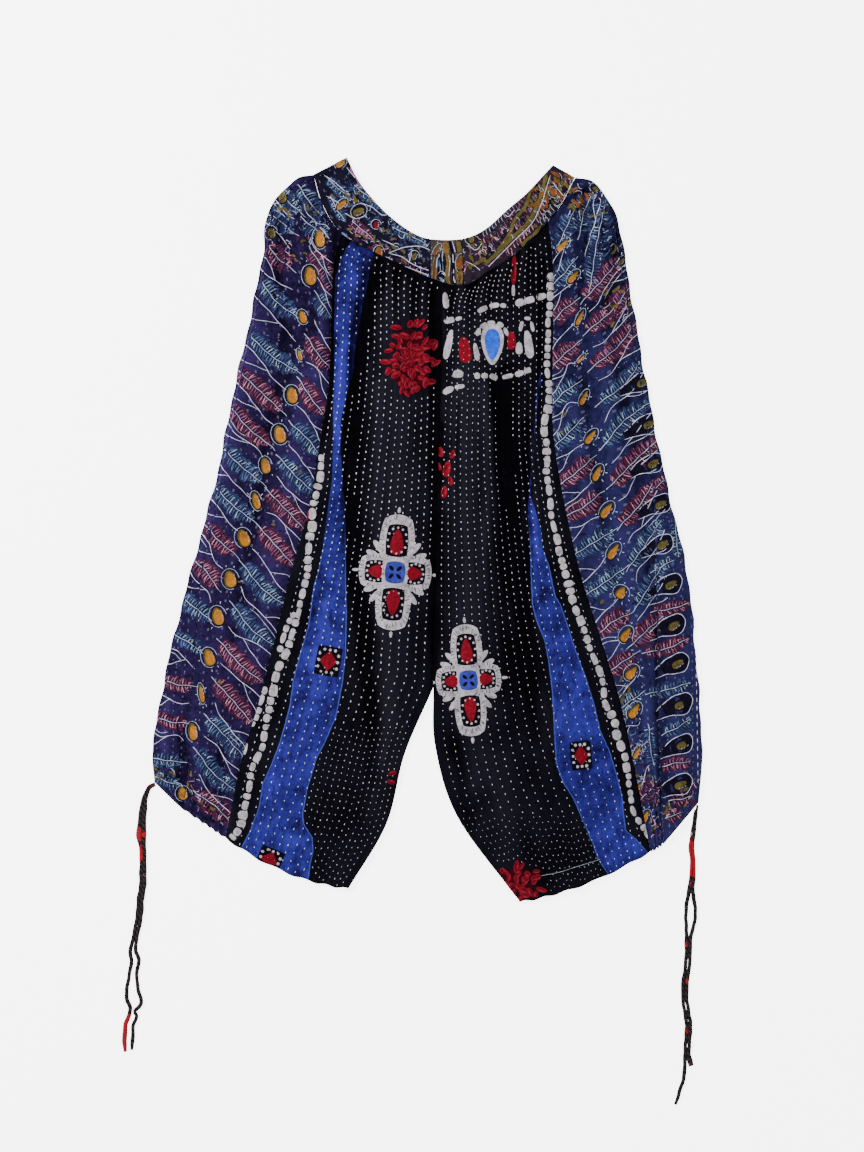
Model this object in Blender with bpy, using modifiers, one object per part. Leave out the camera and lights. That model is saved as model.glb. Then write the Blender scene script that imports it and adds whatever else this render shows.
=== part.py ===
"""Capri joggers with balloon legs, lying flat on their back.

X runs across the garment, Y towards the waist, Z up from the surface it lies on. The front panels lie on
the back panels; at each side the back side panel turns round the fold and comes a little way on to the front.
Tables are in millimetres, everything built from them in metres.
"""
import math

import bmesh
import bpy
import numpy as np

MM = 0.001

# Cloth
CLOTH = 1.6            # one panel: two layers of cotton quilted together
HEM_CASING = 2.4       # the same cloth turned up round the drawstring
BAND = 2.6             # band cloth folded double round its elastic
THICKEST = 3.0         # most a panel thickens where it is gathered
SEAM_INSET = 0.2       # each panel stops this far short of its seam line
BAND_INSET = 0.7       # and the band this far short of the waist seam

# Heights of the front's upper face
FRONT_TOP = 5.4        # open parts of a front panel
BAND_TOP = 5.9         # front of the waistband
HEM_TOP = 6.2          # front of a hem
SEAM_DIP = 0.7         # how far the front sinks at the centre front and at the inseam
SEAM_DIP_REACH = 16.0  # distance over which it sinks
GATHER_SHARE = 0.45    # part of a fold's rise that is extra cloth, not air

# Where things lie along a leg, counted in sections from the waist
CROTCH_ROW = 8
HEM_ROW = 11
CASING_ROW = 10.6      # the hem casing starts here
WAIST_BLEND = 2.0      # the sections follow the band's lower edge down to here
HEM_BLEND = 9.5        # and the hem's bow from here

# Sections of each leg, waist to hem: X and Y of the centre seam (the inseam below the crotch), of the seam
# between the centre panel and the side panel, of the side seam, and of the outer fold.
LEG_SECTIONS = {
    #        centre seam    panel seam     side seam     outer fold
    "left": (
        ((19, 258), (-90, 308), (-116, 370), (-120, 373)),
        ((15, 240), (-97, 286), (-137, 361), (-141, 367)),
        ((14, 215), (-100, 260), (-161, 331), (-167, 334)),
        ((14, 180), (-101, 215), (-168, 285), (-174, 285)),
        ((13, 120), (-104, 150), (-182, 215), (-188, 215)),
        ((11, 50), (-113, 92), (-199, 140), (-205, 140)),
        ((9, -20), (-124, 25), (-214, 55), (-222, 55)),
        ((7, -100), (-144, -48), (-236, -46), (-249, -45)),
        ((6, -166), (-159, -110), (-243, -119), (-268, -118)),
        ((-24, -236), (-176, -178), (-248, -184), (-281, -180)),
        ((-43, -309), (-197, -250), (-250, -243), (-289, -232)),
        ((-83, -377), (-212, -324), (-256, -294), (-287, -265)),
    ),
    "right": (
        ((19, 258), (129, 325), (150, 366), (155, 370)),
        ((15, 240), (131, 297), (171, 357), (175, 364)),
        ((14, 215), (132, 265), (192, 330), (198, 332)),
        ((14, 180), (132, 225), (202, 283), (208, 283)),
        ((13, 120), (131, 160), (213, 212), (220, 212)),
        ((11, 50), (132, 100), (227, 128), (235, 128)),
        ((9, -20), (143, 30), (236, 46), (252, 46)),
        ((7, -100), (160, -45), (240, -45), (273, -45)),
        ((6, -166), (181, -112), (241, -118), (281, -118)),
        ((8, -228), (202, -180), (242, -180), (286, -180)),
        ((32, -303), (218, -255), (244, -247), (289, -235)),
        ((97, -391), (234, -338), (248, -329), (285, -286)),
    ),
}
# How far the hem's middle hangs below a straight line: centre panel, side panel, strip beyond the side seam
HEM_BOW = {"left": (10.0, 0.0, -5.0), "right": (8.0, 1.0, 6.0)}

# Folds of the front: the leg, the stations (0 centre seam, 1 panel seam, 2 side seam) and sections at which
# the crest starts and ends, its half width and its height.
FOLDS = (
    # leg    from (station, section)  to (station, section)  half width  height
    ("left", (0.80, 0.0), (0.72, 9.0), 11.0, 2.6),
    ("left", (0.25, 0.0), (0.34, 5.5), 10.0, 1.8),
    ("left", (0.48, 2.5), (0.52, 10.0), 24.0, 1.4),
    ("left", (1.22, 0.2), (1.30, 5.0), 12.0, 2.4),
    ("left", (1.75, 0.4), (1.80, 7.0), 14.0, 2.2),
    ("left", (1.45, 4.5), (1.55, 10.5), 26.0, 1.5),
    ("right", (0.22, 0.0), (0.30, 6.0), 10.0, 1.9),
    ("right", (0.80, 0.4), (0.76, 8.0), 13.0, 2.8),
    ("right", (0.45, 4.0), (0.50, 10.0), 26.0, 1.4),
    ("right", (1.28, 0.2), (1.36, 5.0), 12.0, 2.4),
    ("right", (1.80, 0.4), (1.85, 6.5), 14.0, 2.2),
    ("right", (1.50, 4.5), (1.50, 10.5), 24.0, 1.5),
)

# Waistband, from its left fold to its right one: X and Y of the upper and of the lower edge
BAND_SECTIONS = (
    # upper edge   lower edge
    ((-85, 391), (-120, 373)),
    ((-74, 369), (-111, 343)),
    ((-61, 351), (-93, 313)),
    ((-41, 330), (-66, 296)),
    ((-18, 313), (-32, 280)),
    ((3, 305), (3, 264)),
    ((36, 305), (38, 256)),
    ((60, 315), (66, 272)),
    ((84, 336), (94, 290)),
    ((103, 352), (116, 311)),
    ((119, 369), (138, 338)),
    ((132, 383), (155, 370)),
)
BAND_PATCH = (5.0, 6.0)                    # the centre patch runs between these sections of the band
PATCH_SEAM = 0.012                         # gap each side of the patch, in sections
BAND_END = 4.0                             # the front pieces turn this far under at the side folds
# Where on the band the centre seam, panel seam, side seam and outer fold of each leg meet it
SEAMS_ON_BAND = {"left": (5.45, 2.12, 0.18, 0.0), "right": (5.45, 9.48, 10.85, 11.0)}

# Drawstring ends. Each leg's two ends leave the casing together and part lower down.
CORD_DIAMETER = 3.4
CORD_CLEAR = 0.1                           # height of the cord's underside
CORD_POINT_EVERY = 13.0
CORD_ROUTES = {
    "left_drawstring_long_end": (
        (-287.4, -265.6), (-295, -271), (-300.3, -285), (-303, -305), (-303, -322), (-301.5, -341),
        (-301.5, -359), (-301.5, -375), (-304, -389), (-304.5, -400), (-307, -417), (-310, -431),
        (-312.5, -444), (-311.5, -455), (-314, -470), (-316.5, -486), (-315.5, -496), (-312.5, -505),
        (-317.5, -521), (-318.5, -536), (-318, -549),
    ),
    "left_drawstring_short_end": (
        (-285.7, -269.3), (-291.8, -274), (-296.4, -287), (-298.5, -305), (-298.5, -322), (-297.5, -341),
        (-297.5, -359), (-297.5, -375), (-300, -389), (-300.5, -400), (-303, -417), (-306, -431),
        (-307, -442), (-303.5, -452), (-305.5, -463), (-305.5, -474), (-304, -485), (-301, -498),
        (-307.5, -506), (-306, -512), (-309.5, -522), (-310, -535), (-311, -547),
    ),
    "right_drawstring_long_end": (
        (280.5, -294.5), (278.8, -307), (277, -321), (275.5, -335), (277, -349), (276.5, -365), (274, -382),
        (272.3, -395), (271.6, -407), (272.2, -420), (272.2, -433), (272.2, -446), (271, -460), (269, -475),
        (268.5, -492), (270.5, -508), (272.5, -522), (271, -545), (270.5, -560), (269.5, -577), (265.5, -588),
        (263.5, -597), (260.5, -604.5),
    ),
    "right_drawstring_short_end": (
        (284.6, -289.8), (283, -307), (281, -321), (279.5, -335), (281, -349), (280.5, -365), (279.5, -380),
        (281, -394), (281.7, -405), (280, -416), (277, -427), (276.2, -436), (276.2, -448), (275, -461),
        (273, -476), (272.5, -491), (274.5, -507), (276.5, -522), (275, -545), (275, -556), (277.5, -564),
    ),
}

# Quads of each piece. Pieces sewn along a seam share the count along it.
QUADS_ALONG_LEG = 22
CENTRE_QUADS = 8
SIDE_QUADS = 6
STRIP_QUADS = 2                            # back side panel, on the front
FOLD_STEPS = 6                             # round a side fold
BAND_QUADS_DOWN = 3

# Colour, roughness
NAVY_PRINT = ((0.045, 0.038, 0.14), 0.85)
BACK_PRINT = ((0.032, 0.032, 0.12), 0.85)
BLACK_COTTON = ((0.010, 0.010, 0.017), 0.88)
STRIPED_PATCH = ((0.26, 0.17, 0.06), 0.85)
OLIVE_PRINT = ((0.10, 0.09, 0.08), 0.85)
BLACK_CORD = ((0.015, 0.010, 0.012), 0.80)


def spline(points, place):
    """The point at a place on a smooth curve through the points, counted in points from the first."""
    knots = np.asarray(points, dtype=float)
    last = len(knots) - 1
    index = min(max(int(place), 0), last - 1)
    t = place - index
    start, end = knots[index], knots[index + 1]
    before = knots[index - 1] if index else 2 * start - end
    after = knots[index + 2] if index + 1 < last else 2 * end - start
    leave = (end - before) / 2
    arrive = (after - start) / 2
    lasting = start * (2 * t**3 - 3 * t**2 + 1) + end * (3 * t**2 - 2 * t**3)
    return lasting + leave * (t**3 - 2 * t**2 + t) + arrive * (t**3 - t**2)


def smooth_step(low, high, value):
    t = min(max((value - low) / (high - low), 0.0), 1.0)
    return t * t * (3 - 2 * t)


def seam_point(leg, seam, row):
    """X, Y of one of a leg's four seam lines (0 centre, 1 panel, 2 side, 3 outer fold) at a section."""
    points = [section[seam] for section in LEG_SECTIONS[leg]]
    if seam:
        return spline(points, row)
    if row <= CROTCH_ROW:
        return spline(points[:CROTCH_ROW + 1], row)
    return spline(points[CROTCH_ROW:], row - CROTCH_ROW)


def straight_across(leg, station, row):
    seam = min(int(station), 2)
    start = seam_point(leg, seam, row)
    end = seam_point(leg, seam + 1, row)
    return start + (end - start) * (station - seam)


def band_place(leg, station):
    """Where on the band, in its sections, a station of the leg is sewn."""
    return float(np.interp(station, (0, 1, 2, 3), SEAMS_ON_BAND[leg]))


def leg_point(leg, station, row):
    """X, Y of a leg at a station across and a section down."""
    point = straight_across(leg, station, row)
    waist_pull = 1 - smooth_step(0, WAIST_BLEND, row)
    if waist_pull:
        lower_edge = [section[1] for section in BAND_SECTIONS]
        sewn_at = spline(lower_edge, band_place(leg, station))
        point = point + waist_pull * (sewn_at - straight_across(leg, station, 0))
    panel = min(int(station), 2)
    across = station - panel
    point[1] -= smooth_step(HEM_BLEND, HEM_ROW, row) * HEM_BOW[leg][panel] * 4 * across * (1 - across)
    return point


def fold_rise(leg, station, row):
    """How far the folds lift the front here."""
    rise = 0.0
    for fold_leg, start, end, half_width, height in FOLDS:
        if fold_leg != leg or not start[1] <= row <= end[1]:
            continue
        along = (row - start[1]) / (end[1] - start[1])
        crest = start[0] + (end[0] - start[0]) * along
        panel = min(int(crest), 2)
        panel_width = np.linalg.norm(seam_point(leg, panel + 1, row) - seam_point(leg, panel, row))
        distance = abs(station - crest) * panel_width / half_width
        fade = min(1.0, 5 * (1 - along), 0.35 + 5 * along)
        if distance < 1:
            rise += height * fade * (0.5 + 0.5 * math.cos(math.pi * distance))
    return min(rise, (THICKEST - CLOTH) / GATHER_SHARE)


def front_height(leg, station, row):
    """Height of the front's upper face."""
    hem = smooth_step(CASING_ROW - 0.6, CASING_ROW, row)
    width = np.linalg.norm(seam_point(leg, 1, row) - seam_point(leg, 0, row))
    dip = SEAM_DIP * math.exp(-max(station, 0) * width / SEAM_DIP_REACH)
    return FRONT_TOP + (HEM_TOP - FRONT_TOP) * hem + (fold_rise(leg, station, row) - dip) * (1 - hem)


def front_thickness(leg, station, row):
    gathered = CLOTH + GATHER_SHARE * fold_rise(leg, station, row)
    hem = smooth_step(CASING_ROW - 0.3, CASING_ROW, row)
    return gathered + (HEM_CASING - gathered) * hem


def back_thickness(row):
    return CLOTH + (HEM_CASING - CLOTH) * smooth_step(CASING_ROW - 0.3, CASING_ROW, row)


def inset_span(start, end, steps):
    """Places from start to end, both a seam inset short, for a row whose ends are points."""
    length = np.linalg.norm(end - start)
    return np.linspace(SEAM_INSET / length, 1 - SEAM_INSET / length, steps + 1)


def front_row(leg, first_station, row, steps):
    """Outer face of a front panel at one section: points and thicknesses."""
    ends = [leg_point(leg, first_station + side, row) for side in (0, 1)]
    cells = []
    for t in inset_span(ends[0], ends[1], steps):
        station = first_station + t
        x, y = leg_point(leg, station, row)
        cells.append((x, y, front_height(leg, station, row), front_thickness(leg, station, row)))
    return cells


def back_centre_row(leg, row, steps):
    """Outer face, facing down, of a back centre panel at one section."""
    ends = [leg_point(leg, station, row) for station in (0, 1)]
    cells = []
    for t in inset_span(ends[0], ends[1], steps):
        x, y = leg_point(leg, t, row)
        cells.append((x, y, 0.0, back_thickness(row)))
    return cells


def turned_row(leg, row):
    """Outer face of a back side panel at one section: on the front, round the fold and along the underside."""
    side = leg_point(leg, 2, row)
    fold = leg_point(leg, 3, row)
    outward = (fold - side) / np.linalg.norm(fold - side)
    height = front_height(leg, 3, row)
    radius = height / 2
    turn = fold - outward * radius
    start = side + outward * SEAM_INSET
    cells = []
    for t in np.linspace(0, 1, STRIP_QUADS + 1):
        x, y = start + (turn - start) * t
        z = front_height(leg, 2, row) * (1 - t) + height * t
        cells.append((x, y, z, front_thickness(leg, 2, row)))
    for step in range(1, FOLD_STEPS):
        angle = math.pi * (0.5 - step / FOLD_STEPS)
        x, y = turn + outward * radius * math.cos(angle)
        cells.append((x, y, radius + radius * math.sin(angle), back_thickness(row)))
    panel_width = np.linalg.norm(side - leg_point(leg, 1, row))
    cells.append((*turn, 0.0, back_thickness(row)))
    for station in np.linspace(2, 1 + SEAM_INSET / panel_width, SIDE_QUADS + 1):
        x, y = leg_point(leg, station, row)
        cells.append((x, y, 0.0, back_thickness(row)))
    return cells


def band_edges(place):
    """The band's upper and lower edge points at a place along it, the lower one short of the waist seam."""
    upper = spline([section[0] for section in BAND_SECTIONS], place)
    lower = spline([section[1] for section in BAND_SECTIONS], place)
    return upper, lower + (upper - lower) / np.linalg.norm(upper - lower) * BAND_INSET


def band_line(place, height):
    upper, lower = band_edges(place)
    cells = []
    for t in np.linspace(0, 1, BAND_QUADS_DOWN + 1):
        x, y = upper + (lower - upper) * t
        cells.append((x, y, height, BAND))
    return cells


def band_end_line(place, inward, reach, height):
    """A line across the band at a reach in from one of its side folds."""
    ends = []
    for edge, beyond in zip(band_edges(place), band_edges(place + inward * 0.5)):
        ends.append(edge + (beyond - edge) / np.linalg.norm(beyond - edge) * reach)
    cells = []
    for t in np.linspace(0, 1, BAND_QUADS_DOWN + 1):
        x, y = ends[0] + (ends[1] - ends[0]) * t
        cells.append((x, y, height, BAND))
    return cells


def band_fold_lines(place, inward):
    """The turned end of a front band piece, from its underside up to its upper face."""
    radius = BAND_TOP / 2
    lines = [band_end_line(place, inward, radius + BAND_END, 0.0)]
    for step in range(FOLD_STEPS + 1):
        angle = math.pi * (step / FOLD_STEPS - 0.5)
        reach = radius * (1 - math.cos(angle))
        lines.append(band_end_line(place, inward, reach, radius * (1 + math.sin(angle))))
    return lines


def band_places(start, end, clear=0.1):
    """Places along the band, one at each corner of the panels sewn to it that is clear of both ends."""
    places = []
    for centre, panel, side, _ in SEAMS_ON_BAND.values():
        places += [place for place in np.linspace(centre, panel, CENTRE_QUADS + 1)]
        places += [place for place in np.linspace(panel, side, SIDE_QUADS + 1)]
    between = {round(float(place), 4) for place in places if start + clear < place < end - clear}
    return [start, *sorted(between), end]


def make_material(name, look):
    colour, roughness = look
    material = bpy.data.materials.new(name)
    material.use_nodes = True
    shader = material.node_tree.nodes["Principled BSDF"]
    shader.inputs["Base Color"].default_value = (*colour, 1.0)
    shader.inputs["Roughness"].default_value = roughness
    shader.inputs["Metallic"].default_value = 0.0
    return material


def make_cloth(name, rows, look, first_quad_up, collection):
    """A cloth piece: a grid laid over its outer face, thickened inwards. Its first quad faces up or down."""
    across = len(rows[0])
    bm = bmesh.new()
    bmesh.ops.create_grid(bm, x_segments=across - 1, y_segments=len(rows) - 1, size=1.0)
    ordered = sorted(bm.verts, key=lambda vert: (round(vert.co.y, 5), round(vert.co.x, 5)))
    thicknesses = {}
    for place, vert in enumerate(ordered):
        x, y, z, thickness = rows[place // across][place % across]
        vert.co = (x * MM, y * MM, z * MM)
        thicknesses[vert] = thickness
    bm.normal_update()
    first_quad = ordered[0].link_faces[0]
    if (first_quad.normal.z > 0) != first_quad_up:
        bmesh.ops.reverse_faces(bm, faces=bm.faces[:])
    bm.verts.index_update()
    weights = [(vert.index, thicknesses[vert] / THICKEST) for vert in bm.verts]
    mesh = bpy.data.meshes.new(name)
    bm.to_mesh(mesh)
    bm.free()
    mesh.shade_smooth()
    mesh.materials.append(make_material(name, look))
    piece = bpy.data.objects.new(name, mesh)
    collection.objects.link(piece)
    group = piece.vertex_groups.new(name="thickness")
    for index, weight in weights:
        group.add([index], weight, "REPLACE")
    shell = piece.modifiers.new("cloth", "SOLIDIFY")
    shell.thickness = THICKEST * MM
    shell.offset = -1
    shell.vertex_group = group.name
    return piece


def make_cord(name, route, look, collection):
    """A free drawstring end: a tube along a smooth curve through its route, lying on the surface."""
    fine = [spline(route, place) for place in np.linspace(0, len(route) - 1, 12 * len(route))]
    steps = [np.linalg.norm(b - a) for a, b in zip(fine, fine[1:])]
    travelled = np.concatenate(([0.0], np.cumsum(steps)))
    count = round(travelled[-1] / CORD_POINT_EVERY) + 1
    stops = np.linspace(0, travelled[-1], count)
    curve = bpy.data.curves.new(name, "CURVE")
    curve.dimensions = "3D"
    curve.bevel_depth = CORD_DIAMETER / 2 * MM
    curve.bevel_resolution = 2
    curve.use_fill_caps = True
    line = curve.splines.new("POLY")
    line.points.add(count - 1)
    for point, stop in zip(line.points, stops):
        x = np.interp(stop, travelled, [place[0] for place in fine])
        y = np.interp(stop, travelled, [place[1] for place in fine])
        point.co = (x * MM, y * MM, (CORD_DIAMETER / 2 + CORD_CLEAR) * MM, 1.0)
    curve.materials.append(make_material(name, look))
    cord = bpy.data.objects.new(name, curve)
    collection.objects.link(cord)
    return cord


def make_leg(leg, collection):
    sections = np.linspace(0, HEM_ROW, QUADS_ALONG_LEG + 1)
    centre = [front_row(leg, 0, row, CENTRE_QUADS) for row in sections]
    make_cloth(f"{leg}_front_centre_panel", centre, BLACK_COTTON, True, collection)
    side = [front_row(leg, 1, row, SIDE_QUADS) for row in sections]
    make_cloth(f"{leg}_front_side_panel", side, NAVY_PRINT, True, collection)
    back = [back_centre_row(leg, row, CENTRE_QUADS) for row in sections]
    make_cloth(f"{leg}_back_centre_panel", back, BLACK_COTTON, False, collection)
    turned = [turned_row(leg, row) for row in sections]
    make_cloth(f"{leg}_back_side_panel", turned, BACK_PRINT, True, collection)


def make_band(collection):
    patch_start, patch_end = BAND_PATCH
    last = len(BAND_SECTIONS) - 1
    left = band_fold_lines(0, 1)
    left += [band_line(place, BAND_TOP) for place in band_places(0, patch_start)[1:-1]]
    left.append(band_line(patch_start - PATCH_SEAM, BAND_TOP))
    make_cloth("waistband_front_left", left, NAVY_PRINT, False, collection)
    patch = [band_line(place, BAND_TOP) for place in band_places(patch_start, patch_end)]
    make_cloth("waistband_centre_patch", patch, STRIPED_PATCH, True, collection)
    right = band_fold_lines(last, -1)
    right += [band_line(place, BAND_TOP) for place in band_places(patch_end, last)[-2:0:-1]]
    right.append(band_line(patch_end + PATCH_SEAM, BAND_TOP))
    make_cloth("waistband_front_right", right, OLIVE_PRINT, False, collection)
    back_reach = BAND_TOP / 2 + BAND_END + 2 * SEAM_INSET
    back = [band_end_line(0, 1, back_reach, 0.0)]
    back += [band_line(place, 0.0) for place in band_places(0, last, clear=0.35)[1:-1]]
    back.append(band_end_line(last, -1, back_reach, 0.0))
    make_cloth("waistband_back", back, NAVY_PRINT, False, collection)


for old_object in list(bpy.data.objects):
    bpy.data.objects.remove(old_object)
garment = bpy.data.collections.new("capri_joggers")
bpy.context.scene.collection.children.link(garment)
for leg_name in LEG_SECTIONS:
    make_leg(leg_name, garment)
make_band(garment)
for cord_name, cord_route in CORD_ROUTES.items():
    make_cord(cord_name, cord_route, BLACK_CORD, garment)
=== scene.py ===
"""Capri joggers of old quilted cotton, laid flat: cloth, prints, running stitches and drawstrings."""
import math
import bmesh
import bpy
import numpy as np
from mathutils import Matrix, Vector
from mathutils.bvhtree import BVHTree


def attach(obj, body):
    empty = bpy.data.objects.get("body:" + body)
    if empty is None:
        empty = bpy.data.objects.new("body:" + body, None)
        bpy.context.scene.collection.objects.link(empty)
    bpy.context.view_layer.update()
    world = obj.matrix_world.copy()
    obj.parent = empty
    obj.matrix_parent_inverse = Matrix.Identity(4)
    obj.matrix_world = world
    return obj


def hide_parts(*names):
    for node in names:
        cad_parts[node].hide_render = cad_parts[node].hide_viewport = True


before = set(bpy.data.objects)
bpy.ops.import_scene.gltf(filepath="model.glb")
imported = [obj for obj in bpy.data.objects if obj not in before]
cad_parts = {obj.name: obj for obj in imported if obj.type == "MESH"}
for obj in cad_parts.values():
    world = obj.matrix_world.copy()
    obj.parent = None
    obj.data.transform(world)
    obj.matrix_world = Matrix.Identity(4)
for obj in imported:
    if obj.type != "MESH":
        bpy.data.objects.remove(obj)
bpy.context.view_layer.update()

MM = 0.001

# The stage, in metres
CAMERA_PLACE = (0.0047, -0.0488, 2.357)
LENS = 70
SENSOR_WIDTH = 36
LIGHTS = (   # name, place, aim, size, power, tint
    ("main_light", (-1.6, 0.9, 1.7), (0, 0, 0), 1.0, 105, (1.0, 0.99, 0.97)),
    ("fill_light", (1.3, -0.6, 2.2), (0, -0.1, 0), 1.8, 16, (0.96, 0.98, 1.0)),
)
SKY_STRENGTH = 0.5
FLOOR_SIZE = 4
FLOOR_HEIGHT = -0.0003   # just under the cloth, so that the two don't touch
FLOOR_GLOW = 5.6
FLOOR_TINTS = ((0.90, 0.90, 0.905, 1), (0.91, 0.91, 0.915, 1))

# Thickness of the cloth and heights above the surface it lies on, in millimetres
CLOTH = 1.5
BAND = 2.4
FRONT_TOP = 5.4
BAND_TOP = 5.9
HEM_TOP = 6.2
UNDERSIDE = 0.3
LOFT = 3.0            # air in the legs lifts the front by this
LOWEST_FRONT = 3.5
LOWEST_SOFTNESS = 2.2  # how sharply the troughs bottom out there
DEEP_TROUGH = -4.5    # no stitches where the front dips lower than this, so the deepest troughs show bare dark cloth as painted shade
SEAM_INSET = 0.03
SEAM_TUCK = 0.35      # how far the left leg's edge slips under the right one at the centre seam
SEAM_DIP = 1.3
SEAM_DIP_REACH = 3.2
SEAM_CLEAR = 5.0      # no stitches nearer than this to the centre seam

# Places down a leg, counted in its sections
CROTCH_ROW = 8
HEM_ROW = 11
CASING_ROW = 10.6
WAIST_BLEND = 2.0
HEM_BLEND = 9.5
HEM_WIDTH_ROW = 10.0  # where a panel's width on the cut is taken

# Running stitches: the weave's unit, then columns and stitches apart, and those of the close ones low down
THREAD_PITCH = 9.2
COLUMN_PITCH = 9.4
STITCH_PITCH = 7.6
CLOSE_THREADS = 6.2
CLOSE_STITCHES = 6.3
CLOSE_ROWS = {"left": -205, "right": -300}
FINE_STITCH = 0.72
STITCH_SIZE = {"left": 0.9, "right": 0.76}

# Sizes of the motifs
FROND_REACH = 11.8
TURNED_FROND_REACH = 8.5
ARCHED_BUD = (11.5, 15.5)
BROAD_COBBLES = 7.8
FINE_COBBLES = 5.2
BORDER_COBBLES = 6.5
ARCH_COBBLES = 4.6

# Seeds for what varies from piece to piece
FROND_SEED = 70
BUD_SEED = 13

# Each leg from waist to hem: its centre seam (then inseam), panel seam, side seam and outer fold
LEG_SECTIONS = {
    "left": (
        ((19, 258), (-90, 308), (-116, 370), (-120, 373)),
        ((15, 240), (-97, 286), (-137, 361), (-141, 367)),
        ((14, 215), (-100, 260), (-161, 331), (-167, 334)),
        ((14, 180), (-101, 215), (-168, 285), (-174, 285)),
        ((13, 120), (-104, 150), (-182, 215), (-188, 215)),
        ((11, 50), (-113, 92), (-199, 140), (-205, 140)),
        ((9, -20), (-124, 25), (-214, 55), (-222, 55)),
        ((7, -100), (-144, -48), (-236, -46), (-249, -45)),
        ((6, -166), (-159, -110), (-243, -119), (-268, -118)),
        ((-24, -236), (-176, -178), (-248, -184), (-281, -180)),
        ((-43, -309), (-197, -250), (-250, -243), (-289, -232)),
        ((-83, -377), (-212, -324), (-256, -294), (-287, -265)),
    ),
    "right": (
        ((19, 258), (129, 325), (150, 366), (155, 370)),
        ((15, 240), (131, 297), (171, 357), (175, 364)),
        ((14, 215), (132, 265), (192, 330), (198, 332)),
        ((14, 180), (132, 225), (202, 283), (208, 283)),
        ((13, 120), (131, 160), (213, 212), (220, 212)),
        ((11, 50), (132, 100), (227, 128), (235, 128)),
        ((9, -20), (143, 30), (236, 46), (252, 46)),
        ((7, -100), (160, -45), (240, -45), (273, -45)),
        ((6, -166), (181, -112), (241, -118), (281, -118)),
        ((8, -228), (202, -180), (242, -180), (286, -180)),
        ((32, -303), (218, -255), (244, -247), (289, -235)),
        ((97, -391), (234, -338), (248, -329), (285, -286)),
    ),
}
HEM_BOW = {"left": (10.0, 0.0, -5.0), "right": (8.0, 1.0, 6.0)}

# The waistband along its length: upper edge, lower edge
BAND_SECTIONS = (
    ((-85, 391), (-120, 373)),
    ((-74, 369), (-111, 343)),
    ((-61, 351), (-93, 313)),
    ((-41, 330), (-66, 296)),
    ((-18, 313), (-32, 280)),
    ((3, 305), (3, 264)),
    ((36, 305), (38, 256)),
    ((60, 315), (66, 272)),
    ((84, 336), (94, 290)),
    ((103, 352), (116, 311)),
    ((119, 369), (138, 338)),
    ((132, 383), (155, 370)),
)
BAND_PATCH = (5.0, 6.0)   # where along it the centre patch starts and ends
BAND_LAST = 11
BAND_GAP = 0.012          # between its pieces
BAND_INSET = 0.25
BAND_END = 4.0
SEAMS_ON_BAND = {"left": (5.45, 2.12, 0.18, 0.0), "right": (5.45, 9.48, 10.85, 11.0)}

FAR = 9   # so far along the band from a fold that it no longer matters

BETWEEN_LAYERS = 2.0   # height that parts the underside from the front

# Laying flat shapes on the cloth
DROP_FROM = 0.1         # metres above it, or below it for the underside
STEEPEST = 0.05         # cloth that faces less towards them than this takes none
LIFT_UNDERNEATH = 0.4   # share of a finish's lift there, so that nothing reaches the floor
SLIVER = 1e-9           # square metres

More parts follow.
